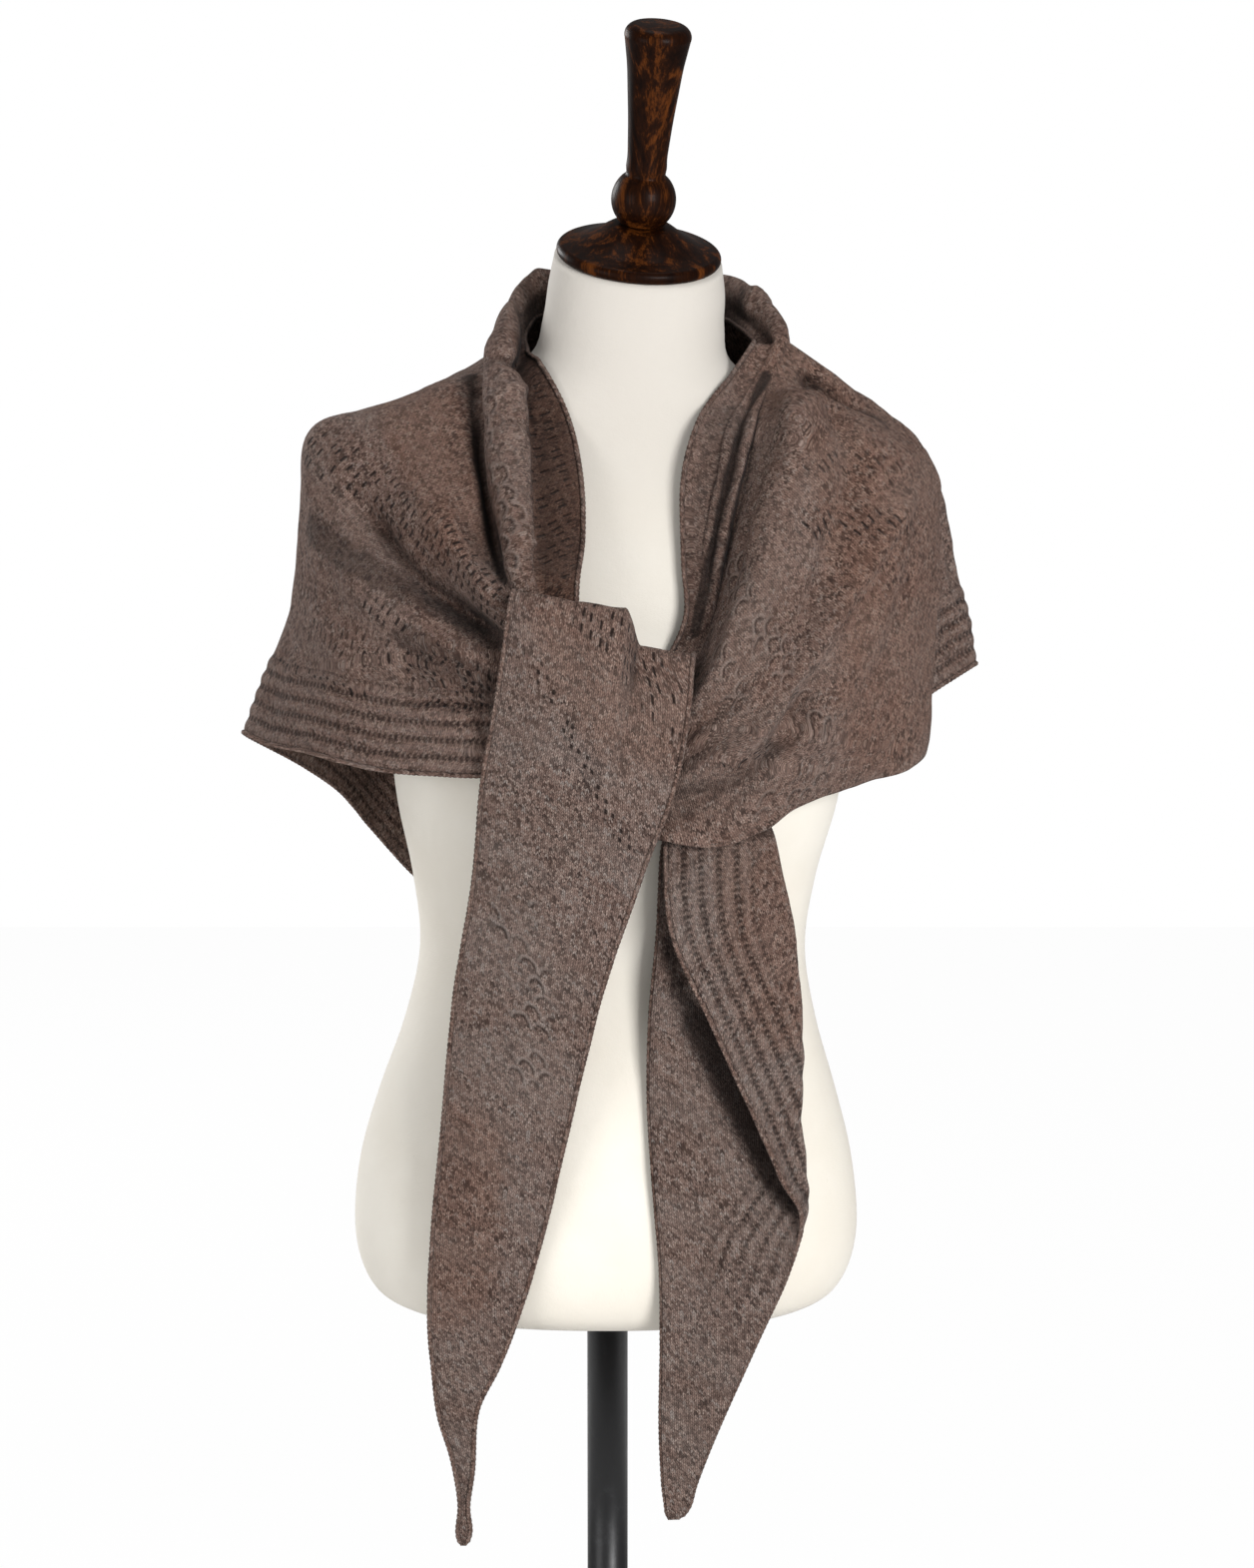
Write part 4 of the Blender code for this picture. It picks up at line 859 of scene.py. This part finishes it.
# Creases of the band: through (row, share across), half width and height.
BAND_FOLDS = [
    Fold([(0.5, 0.30), (2.0, 0.34), (3.6, 0.38)], 5, -1.8),
    Fold([(0.6, 0.44), (2.4, 0.50), (4.2, 0.60)], 5, 1.8),
    Fold([(0.8, 0.84), (2.4, 0.84), (4.0, 0.88)], 4, -1.6),
    Fold([(0.4, 0.10), (2.2, 0.14), (4.4, 0.22), (6.0, 0.34)], 8, 1.6),
    Fold([(4.4, 0.80), (5.6, 0.66), (7.0, 0.58)], 9, -1.4),
    Fold([(6.0, 0.16), (7.6, 0.30), (9.2, 0.44)], 9, 1.4),
    Fold([(8.2, 0.74), (9.6, 0.60), (10.6, 0.52)], 7, -1.0),
]
# The same marks on the band, through stops (share across, row).
BAND_TRACES = [
    Trace("dashes", [(0.45, 1.7), (0.75, 2.2), (0.92, 3.0)], 17, 1),
    Trace("holes", [(0.14, 2.5), (0.34, 3.2), (0.60, 4.0), (0.86, 4.7)], 5.5, 1),
    Trace("scales", [(0.28, 5.2), (0.44, 5.8), (0.62, 6.5)], 17, 1),
    Trace("shade", [(0.66, 0.6), (0.67, 1.6), (0.68, 2.6)], 3, 0.6),
    Trace("cast_and_shade", [(0.50, 1.6), (0.80, 2.6)], 60, 0.5),
    Trace("cast_and_shade", [(0.10, 7.2), (0.14, 8.6)], 40, 0.5),
]


def band_row(row, across):
    past = smooth_step(PLEAT_FROM, PLEAT_TO, across)[:, None]
    right = np.array(row.right, float)
    left = np.array(row.left, float) + (0, -row.step, row.drop)
    points = right + (left - right) * across[:, None] + np.array((0, row.step, -row.drop)) * past
    points[:, 1] -= row.bulge * 4 * across * (1 - across)
    return at(points)


def band_end(under, form_tree, look):
    """The end that comes up behind the knot and falls over it."""
    start, end = PLEAT_FROM - PLEAT_MARGIN, PLEAT_TO + PLEAT_MARGIN
    across = np.concatenate([np.linspace(0, start, 27)[:-1], np.linspace(start, end, 11)[:-1],
                             np.linspace(end, 1, 15)])
    net = np.array([band_row(row, across) for row in BAND])
    rows = even_rows(net, net.shape[1] // 2, BAND_ROWS)
    grid = creased(between(net, rows), rows, across, BAND_FOLDS, 1)
    grid = clear_of(grid, form_tree, (WALL + FORM_GAP) * MM)
    lowered = in_front_of(grid, under, (WALL + LAYER_GAP) * MM)
    over = smooth_step(BAND_OVER - 0.3, BAND_OVER, rows)[:, None, None]
    grid = grid + (lowered - grid) * over
    return finish_end("scarf_end_right", grid, rows, across, BAND_TRACES, look, 1)


def finish_end(name, grid, rows, across, traces, look, sense, ribs=None, from_edge=None):
    """A hanging end's closed cloth, with its coordinates, unevenness and marks."""
    out = outward(grid, sense)
    soft = uneven(grid, END_WAVES)
    back = grid - out * (WALL * MM - soft[..., None])
    lift = soft if ribs is None else soft + ribs
    face = grid + out * lift[..., None]
    u = lengths_across(grid)
    v = lengths(grid[::-1])[::-1]
    uv = np.stack([u, v + 0.5 * u], axis=-1)     # the rows run aslant, as on a triangle's end
    marks = marks_on(grid, rows, across, traces, END_CAST)
    if ribs is not None:
        border = np.clip(ribs.max(axis=1) / (RIB_HEIGHT * MM), 0, 1)
        marks["border"] = border[:, None] * (ribs > 0)
        marks["rib"] = from_edge / (RIB_PITCH * MM)
        marks["hem"] = v
    return cloth(name, face, back, uv, look, marks, sense), face


# The other end, which comes out under the panel's lower fold, the same as its solid. Each
# row is a section: its height, its two edges, how far in front it hangs, the width folded
# to the front, and how far the free edge of that border curls out.
Hanging = namedtuple("Hanging", "h right left y folded curl")
HANGING = [
    Hanging(356, 46, 104, -122, 72, 2),
    Hanging(334, 37, 111, -119.5, 83, 4),
    Hanging(279, 34, 122.6, -114, 90, 9),
    Hanging(221, 29, 128, -112, 70, 12),
    Hanging(167, 28, 128.5, -112, 46, 13),
    Hanging(119, 30.6, 131, -116, 27, 12),
    Hanging(90, 33, 130.6, -118.5, 13, 8),
    Hanging(50, 36, 119, -119, 0.5, 4),
    Hanging(3, 36.6, 98.7, -118, 0, 0),
    Hanging(-52, 36, 75, -117, 0, 0),
    Hanging(-91, 37.4, 60, -116, 0, 0),
    Hanging(-109, 39.5, 55, -116, 0, 0),
    Hanging(-118.5, 40.5, 48.5, -116, 0, 0),
]
HANGING_ROWS = 170
HANGING_ACROSS = 64
FOLD_RADIUS = 4.8
# Creases through stops (row, share across), and marks through stops (share across, row).
HANGING_FOLDS = [
    Fold([(0.3, 0.14), (2.0, 0.16), (4.0, 0.20)], 7, -1.8),
    Fold([(1.0, 0.30), (2.6, 0.34), (4.6, 0.42)], 8, 1.8),
    Fold([(3.6, 0.66), (5.0, 0.60), (7.0, 0.50)], 9, -1.8),
    Fold([(5.6, 0.30), (7.4, 0.34), (9.4, 0.44)], 8, 1.6),
]
HANGING_TRACES = [
    Trace("shade", [(0.02, 2.1), (0.07, 2.6), (0.16, 3.1)], 6, 0.8),
    Trace("shade", [(0.15, 3.0), (0.34, 4.0), (0.54, 5.0), (0.68, 5.6)], 12, 1),
    Trace("shade", [(0.10, 0.0), (0.30, 0.1), (0.50, 0.2), (0.8, 0.3)], 9, 0.7),
    Trace("cast_and_shade", [(0.5, 0.6), (0.5, 2.6)], 50, 0.5),
]


def hanging_row(row):
    """Section from its right edge to the fold at its left, then back along the front."""
    flat = row.left - row.right - FOLD_RADIUS * min(1, row.folded / FOLD_RADIUS)
    bend = min(row.folded, math.pi * FOLD_RADIUS)
    fine = np.linspace(0, flat + row.folded, 401)
    middle = (fine[1:] + fine[:-1]) / 2
    crowding = 1 + 1.5 * min(1, row.folded / 15) * np.exp(-((middle - flat - bend / 2) / 9) ** 2)
    sums = np.concatenate([[0], np.cumsum(crowding)])
    s = np.interp(np.linspace(0, sums[-1], HANGING_ACROSS + 1), sums, fine)
    angle = np.clip(s - flat, 0, bend) / FOLD_RADIUS
    past = s - flat - bend
    x = row.right + np.minimum(s, flat) + FOLD_RADIUS * np.sin(angle)
    x = np.where(past > 0, row.right + flat - past, x)
    y = row.y - FOLD_RADIUS * (1 - np.cos(angle))
    y = np.where(s <= flat, row.y + 0.03 * flat * np.sin(math.pi * s / flat), y)
    y = np.where(past > 0, row.y - 2 * FOLD_RADIUS, y)
    y -= row.curl * np.clip(past / max(row.folded - bend, 1), 0, 1) ** 1.5
    return at(np.stack([x, y, np.full_like(x, row.h)], axis=1))


def hanging_end(look):
    """The end that comes out under the panel, its border folded to the front."""
    net = np.array([hanging_row(row) for row in HANGING])
    rows = even_rows(net, net.shape[1] // 2, HANGING_ROWS)
    across = np.linspace(0, 1, HANGING_ACROSS + 1)
    grid = creased(between(net, rows), rows, across, HANGING_FOLDS, -1)
    from_edge = lengths_across(grid[:, ::-1])[:, ::-1]
    share = from_edge / (RIB_COUNT * RIB_PITCH * MM)
    width = from_edge[:, :1]
    fade = smooth_step(0.03, 0.07, width) * (1 - 0.75 * smooth_step(5.5, 8, rows))[:, None]
    ribs = np.where(share < 1, rib_heights(np.clip(share, 0, 1)), 0) * fade
    return finish_end("scarf_end_left", grid, rows, across, HANGING_TRACES, look, -1, ribs,
                      from_edge)


# The bunched cloth inside the knot: one row for each section of its solid.
Core = namedtuple("Core", "x y h half_depth half_height")
KNOT = [
    Core(-39, -138.5, 430, 3, 24),
    Core(-30, -139, 430, 8, 30),
    Core(-14, -139, 428, 12, 38),
    Core(3, -138, 424, 12.5, 46),
    Core(14, -137, 414, 11, 46),
    Core(20, -136.5, 408, 7, 36),
]
KNOT_SIDES = 84
KNOT_RINGS = 41
KNOT_PLEATS = 9


def knot_bunch(look):
    """The knot's core, pleated along its length like gathered cloth."""
    rings = []
    angles = 2 * math.pi * np.arange(KNOT_SIDES) / KNOT_SIDES
    for t, row in zip(np.linspace(0, 1, KNOT_RINGS), refined(KNOT, KNOT_RINGS)):
        core = Core(*row)
        pleat = 0.93 + 0.07 * np.cos(KNOT_PLEATS * angles + 1.4 * math.sin(5 * t))
        rings.append(at(np.stack([np.full(KNOT_SIDES, core.x),
                                  core.y + core.half_depth * pleat * np.cos(angles),
                                  core.h + core.half_height * pleat * np.sin(angles)], axis=1)))
    return stacked("knot_bunch", rings, look, knitted=True)


class Value:
    """An output of a node. Reckoning with it adds the nodes that do the same."""

    def __init__(self, nodes, socket):
        self.nodes, self.socket = nodes, socket

    def math(self, operation, other=0.0):
        return self.nodes.add("Math", {0: self, 1: other}, operation=operation)

    def __add__(self, other):
        return self.math("ADD", other)

    def __sub__(self, other):
        return self.math("SUBTRACT", other)

    def __rsub__(self, other):
        return self.nodes.add("Math", {0: other, 1: self}, operation="SUBTRACT")

    def __mul__(self, other):
        return self.math("MULTIPLY", other)

    def __truediv__(self, other):
        return self.math("DIVIDE", other)

    def __pow__(self, other):
        return self.math("POWER", other)

    def __abs__(self):
        return self.math("ABSOLUTE")

    def whole(self):
        return self.math("FLOOR")

    def rest(self):
        return self.math("FRACT")

    def step(self, low, high):
        """0 at low to 1 at high, smoothly."""
        return self.nodes.add("MapRange", {"Value": self, "From Min": low, "From Max": high},
                              "Result", interpolation_type="SMOOTHSTEP")


class Nodes:
    """A node tree with short calls. Inputs are numbers, colours or values of its nodes."""

    def __init__(self, tree):
        self.tree = tree

    def feed(self, socket, value):
        if isinstance(value, Value):
            self.tree.links.new(value.socket, socket)
        elif isinstance(value, tuple) and len(value) == 3 and socket.type == "RGBA":
            socket.default_value = (*value, 1)
        else:
            socket.default_value = value

    def add(self, kind, inputs=None, output=0, **settings):
        """A new node's output."""
        made = self.tree.nodes.new("ShaderNode" + kind)
        for key, value in settings.items():
            setattr(made, key, value)
        for key, value in (inputs or {}).items():
            self.feed(made.inputs[key], value)
        return Value(self, made.outputs[output])


class Look(Nodes):
    """A material of its own."""

    def __init__(self, name):
        self.material = bpy.data.materials.new(name)
        self.material.use_nodes = True
        super().__init__(self.material.node_tree)

    def mix(self, share, a, b, blend="MIX"):
        return self.add("Mix", {0: share, 6: a, 7: b}, 2, data_type="RGBA", blend_type=blend)

    def layered(self, colour, layers):
        """A colour under layers, each a share and a colour of its own."""
        for share, over in layers:
            colour = self.mix(share, colour, over)
        return colour

    def noise(self, vector, scale, detail=3.0, roughness=0.55, distortion=0.0):
        return self.add("TexNoise", {"Vector": vector, "Scale": scale, "Detail": detail,
                                     "Roughness": roughness, "Distortion": distortion}, "Fac")

    def vector(self, x, y, z=0.0):
        return self.add("CombineXYZ", {"X": x, "Y": y, "Z": z})

    def random(self, x, y, z=0.0):
        return self.add("TexWhiteNoise", {"Vector": self.vector(x, y, z)}, "Value",
                        noise_dimensions="3D")

    def mark(self, name):
        return self.add("Attribute", None, "Fac", attribute_name=name)

    def position(self, stretch=None):
        """The place in the object, or one with each axis multiplied."""
        place = self.add("TexCoord", None, "Object")
        return self.add("Mapping", {"Vector": place, "Scale": stretch}) if stretch else place

    def ramp(self, share, stops):
        made = self.add("ValToRGB", {"Fac": share}, "Color")
        band = made.socket.node.color_ramp
        while len(band.elements) < len(stops):
            band.elements.new(0.5)
        for element, (position, colour) in zip(band.elements, stops):
            element.position = position
            element.color = (*colour, 1)
        return made

    def finish(self, colour, roughness, height, **inputs):
        """Feeds the shader. height is in metres."""
        bump = self.add("Bump", {"Height": height, "Distance": 1.0, "Strength": 1.0})
        inputs.update(Base_Color=colour, Roughness=roughness, Normal=bump)
        shader = self.tree.nodes["Principled BSDF"]
        for key, value in inputs.items():
            self.feed(shader.inputs[key.replace("_", " ")], value)
        return self.material



DARK_YARN = (0.045, 0.032, 0.028)
BROWN_YARN = (0.158, 0.113, 0.097)
PINK_YARN = (0.258, 0.188, 0.162)
RUST_YARN = (0.156, 0.090, 0.068)
GREY_YARN = (0.268, 0.236, 0.219)
PALE_FLECK = (0.490, 0.410, 0.360)
# painted shade for the hollows between the stitches' loops
STITCH_SHADE = (0.030, 0.019, 0.015)
CAST_AND_SHADE = (0.96, 0.70, 0.58)      # a reddish cast over the yarn's own colour, which also darkens it as painted shade where its trace lies on the front of the wearer's left shoulder
SHADE = (0.010, 0.006, 0.005)
SLITS_KEPT = 0.75              # share of the openings' cells that have one
SCALE_WIDTH, SCALE_HEIGHT = 15, 9.5


def stitch_cells(x, y):
    """Column and row numbers of each stitch, and its height above the cloth, 0 to 1."""
    s, t = x / (STITCH_WIDTH * MM), y / (STITCH_HEIGHT * MM)
    lean = abs(s.rest() - 0.5)
    slanted = t + lean * 1.7
    leg = (lean * (2 * math.pi)).math("SINE")
    loop = (slanted.rest() * math.pi).math("SINE")
    return s.whole(), slanted.whole(), leg ** 0.7 * loop ** 0.6


def slits(look, x, y, pitch_x, pitch_y, half_x, half_y):
    """Small openings of the knitting in a grid of cells, some of them left out."""
    s, t = x / (pitch_x * MM), y / (pitch_y * MM)
    column, row = s.whole(), t.whole()
    shift = (look.random(column, row, 5.0) - 0.5) * 0.35
    wide = abs(s.rest() - 0.5 + shift).step(half_x / pitch_x, half_x / pitch_x * 0.35)
    tall = abs(t.rest() - 0.5).step(half_y / pitch_y, half_y / pitch_y * 0.6)
    return wide * tall * look.random(column, row, 3.0).math("LESS_THAN", SLITS_KEPT)


def scale_arcs(look, x, y, radius, width):
    """Overlapping arcs, row by row, each row half a step on."""
    t = y / (SCALE_HEIGHT * MM)
    row = t.whole()
    s = x / (SCALE_WIDTH * MM) + row.math("MODULO", 2.0) * 0.5
    across, along = (s.rest() - 0.5) * SCALE_WIDTH, t.rest() * SCALE_HEIGHT
    away = abs((across * across + along * along).math("SQRT") - radius)
    return away.step(width, 0.2) * look.random(s.whole(), row, 7.0).step(-0.1, 0.7)


def border_grooves(look):
    """The lines of loops between the border's ridges, which the knit look paints dark with shade,
    and the ridges' tops, which it lightens with a painted highlight.
    """
    beat = abs((look.mark("rib") + 0.5).rest() - 0.5)
    turns = look.mark("hem") * (2 * math.pi / (STITCH_WIDTH * 1.5 * MM))
    loops = (turns + beat * 9.0).math("SINE") * 0.4 + 0.6
    border = look.mark("border")
    return beat.step(0.25, 0.08) * loops * border, beat.step(0.30, 0.46) * border


def knit_look():
    """Marled wool in small stocking stitches, with openwork and a garter border, a reddish cast
    that is partly painted shade, painted shade in the stitches' hollows, the openings, the
    border's grooves, inside the scale arcs, in creases and along the shade mark, and a painted
    highlight on the border's ridges.
    """
    look = Look("taupe_marl_knit")
    uv = look.add("UVMap", uv_map="cloth")
    wander = (look.noise(uv, 60) - 0.5) * 0.0022
    x, y = (look.add("SeparateXYZ", {0: uv}, k) + wander for k in (0, 1))
    column, row, stitch = stitch_cells(x, y)
    holes = slits(look, x, y, 5.6, 6.3, 1.5, 1.7) * look.mark("holes")
    dashes = slits(look, x, y, 6.4, 10.5, 1.15, 3.7) * look.mark("dashes")
    gap = (holes + dashes).math("MINIMUM", 1.0)
    u = x + (look.noise(uv, 40, 2.0) - 0.5) * 0.006
    v = y + (look.noise(uv, 75, 2.0) - 0.5) * 0.004
    # the second, smaller arcs are a painted shadow just inside the raised scale arcs
    scales, under = (scale_arcs(look, u, v, radius, width) * look.mark("scales")
                     for radius, width in ((7.0, 1.9), (4.9, 1.7)))
    groove, ridge = border_grooves(look)
    fleck = look.random((x / 0.0010).whole(), (y / 0.0014).whole(), 9.0)
    drawn = look.vector(x * 0.35, y)
    blotch = look.noise(drawn, 75, 4.0, 0.6).step(0.38, 0.66)
    streak = look.noise(drawn, 22, 3.0).step(0.42, 0.62)
    # painted shade: the openings and the loops in the border's grooves are coloured as the dark
    # inside them
    openwork = (gap * 0.88 + groove * 0.74).math("MINIMUM", 0.95)
    # painted shade: how open each point is, which darkens the colour in creases and pockets
    open_air = look.add("AmbientOcclusion", {"Distance": 0.035}, "AO", samples=8)

    colour = look.ramp(look.random(column, row), [(0.0, DARK_YARN), (0.25, BROWN_YARN),
                                                  (0.8, PINK_YARN), (1.0, GREY_YARN)])
    colour = look.layered(colour, [
        (fleck.step(0.74, 1.0) * 0.5, PALE_FLECK),
        (fleck.step(0.32, 0.0) * 0.85, DARK_YARN),
        (blotch * 0.25, RUST_YARN),
        (streak * 0.2, GREY_YARN),
        # painted shade in the hollows between the stitches' loops
        ((1.0 - stitch) * 0.56, STITCH_SHADE),
        # painted highlight on the tops of the border's ridges
        (ridge * 0.14, GREY_YARN),
        (openwork, SHADE),
        # painted shadow just inside the scale arcs
        (under * 0.62, SHADE),
        (scales * 0.42, GREY_YARN),
    ])
    colour = look.mix(look.mark("cast_and_shade"), colour, CAST_AND_SHADE, "MULTIPLY")
    # painted shade in creases and pockets, and along the shade mark
    colour = look.layered(colour, [(open_air.step(0.75, 0.1), SHADE),
                                   (look.mark("shade") * 0.85, SHADE)])
    height = (stitch * 0.00055 + look.noise(uv, 1400, 2.0) * 0.00022 + scales * 0.0010
              - gap * 0.0014 - groove * 0.0009)
    return look.finish(colour, 0.92, height, Sheen_Weight=0.04, Sheen_Roughness=0.5,
                       Specular_IOR_Level=0.10)


def jersey_look():
    """Fine ivory jersey, a little uneven and speckled, with painted shade that darkens it towards
    the neck, where the collar and the cap shadow it.
    """
    look = Look("ivory_cover")
    place = look.position()
    weave = look.noise(look.position((1, 1, 2.4)), 900, 2.0)
    # painted shade: the form's colour darkens with height towards the neck, for the shadow of the
    # collar and the cap
    painted_neck_shade = look.add("SeparateXYZ", {0: place}, 2).step(0.66, 0.94)
    specks = look.noise(place, 260, 2.0).step(0.74, 0.80)
    colour = look.mix(look.noise(place, 9, 4.0).step(0.3, 0.75), (0.80, 0.75, 0.66),
                      (0.86, 0.82, 0.74))
    colour = look.layered(colour, [(specks * 0.18, (0.50, 0.42, 0.32)),
                                   (weave * 0.10, (0.62, 0.56, 0.47)),
                                   (painted_neck_shade * 0.85, (0.575, 0.54, 0.495))])
    height = weave * 0.00016 + look.noise(place, 120, 3.0) * 0.0003
    return look.finish(colour, 0.82, height, Sheen_Weight=0.12, Specular_IOR_Level=0.25)


def wood_look():
    """Dark stained wood under satin varnish, its grain along the turning."""
    look = Look("walnut_turning")
    long = look.position((1, 1, 0.09))
    rings = look.noise(long, 70, 4.0, 0.6, 1.2)
    fibre = look.noise(long, 520, 3.0, 0.7)
    grain = (rings * 0.7 + fibre * 0.3).step(0.36, 0.68)
    colour = look.ramp(grain, [(0.0, (0.005, 0.0014, 0.0006)), (0.5, (0.016, 0.0042, 0.001)),
                               (1.0, (0.100, 0.028, 0.005))])
    return look.finish(colour, rings * 0.18 + 0.36, fibre * -0.00009, Coat_Weight=0.025,
                       Coat_Roughness=0.15, Specular_IOR_Level=0.04)


def steel_look():
    """Black painted steel, rubbed a little."""
    look = Look("black_pole_paint")
    place = look.position()
    worn = look.noise(place, 45, 5.0, 0.7)
    colour = look.mix(worn.step(0.52, 0.74), (0.012, 0.012, 0.013), (0.030, 0.030, 0.032))
    height = look.noise(place, 380, 2.0) * 0.00006
    return look.finish(colour, worn * 0.22 + 0.28, height, Metallic=0.25)


FLOOR_REACH, FLOOR_HEIGHT = 3, -0.0005
FLOOR_GLOW = 0.97        # share of the floor's own white, where it is looked at
ROOM_LIGHT = 0.28        # strength of the white surround, apart from how it looks


def plain_stage():
    """A near-white floor that still takes a soft shadow, and a white surround."""
    look = Look("stage_white")
    glow = look.add("Emission", {"Color": (1, 1, 1), "Strength": 1.0})
    matte = look.add("BsdfDiffuse", {"Color": (0.8, 0.8, 0.8)})
    share = look.add("LightPath", None, "Is Camera Ray") * FLOOR_GLOW
    both = look.add("MixShader", {0: share, 1: matte, 2: glow})
    look.feed(look.tree.nodes["Material Output"].inputs["Surface"], both)
    corners = [(x * FLOOR_REACH, y * FLOOR_REACH, FLOOR_HEIGHT)
               for x, y in ((-1, -1), (1, -1), (1, 1), (-1, 1))]
    floor = mesh_object("stage_floor", corners, [(0, 1, 2, 3)], look.material)
    world = bpy.data.worlds.new("white_room")
    world.use_nodes = True
    bpy.context.scene.world = world
    room = Nodes(world.node_tree)
    sky = room.tree.nodes["Background"]
    seen = room.add("LightPath", None, "Is Camera Ray")
    power = room.add("MapRange", {"Value": seen, "To Min": ROOM_LIGHT, "To Max": 1.0})
    room.feed(sky.inputs["Strength"], power)
    room.feed(sky.inputs["Color"], (1, 1, 1))


Lamp = namedtuple("Lamp", "name place size power")
LAMPS = [
    Lamp("key", (1.3, -2.3, 1.2), 1.0, 62),
    Lamp("fill", (-2.0, -1.8, 0.9), 1.4, 20),
    Lamp("top", (0.1, 0.1, 2.9), 1.0, 10),
    Lamp("back", (-1.7, 1.8, 1.6), 0.9, 40),
]
LOOK_AT = Vector((0.0135, 0, 0.634))
CAMERA_AT = (0.0135, -2.5747, 0.996)
LENS = 88.05


def aimed(data, name, place):
    thing = bpy.data.objects.new(name, data)
    bpy.context.scene.collection.objects.link(thing)
    thing.location = place
    thing.rotation_euler = (LOOK_AT - Vector(place)).to_track_quat("-Z", "Y").to_euler()
    return thing


def lamps_and_camera():
    for lamp in LAMPS:
        light = bpy.data.lights.new(lamp.name, "AREA")
        light.size = lamp.size
        light.energy = lamp.power
        aimed(light, lamp.name, lamp.place)
    lens = bpy.data.cameras.new("camera")
    lens.lens = LENS
    bpy.context.scene.camera = aimed(lens, "camera", CAMERA_AT)
    bpy.context.scene.view_settings.view_transform = "Standard"


def dress():
    """All pieces, each on its body and in the place of its solids."""
    knit, jersey, wood, steel = knit_look(), jersey_look(), wood_look(), steel_look()
    form = form_body(jersey)
    cap, grip = cap_and_handle(wood)
    base, pole = stand_parts(wood, steel)
    form_tree = tree_of(form)
    worn, worn_face = worn_cloth(form_tree, knit)
    left, left_face = hanging_end(knit)
    knot = knot_bunch(knit)
    under = [tree_of(piece) for piece in (worn, left, knot)]
    right, right_face = band_end(under, form_tree, knit)
    edges = [edging(*row, knit) for row in (
        ("edge_worn", worn_face[-1]),
        ("edge_collar", worn_face[0]),
        ("edge_left_hem", left_face[:, 0]),
        ("edge_left_side", left_face[:, -1]),
        ("edge_right_side", right_face[:, 0]),
        ("edge_right_hem", right_face[:, -1]))]
    stands_for = [
        (form, "ivory_jersey", ["torso"]),
        (cap, "walnut_stain", ["neck_cap"]),
        (grip, "walnut_stain", ["handle"]),
        (base, "walnut_stain", ["base"]),
        (pole, "dark_steel", ["pole"]),
        (worn, "taupe_knit", ["collar_right", "collar_left", "front_right", "front_left", "back"]),
        (left, "taupe_knit", ["end_left"]),
        (right, "taupe_knit", ["end_right"]),
        (knot, "taupe_knit", ["knot_core"]),
    ]
    for piece, slot, nodes in stands_for:
        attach(piece, "root")
        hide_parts(*nodes)
    for piece in edges:
        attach(piece, "root")


dress()
plain_stage()
lamps_and_camera()
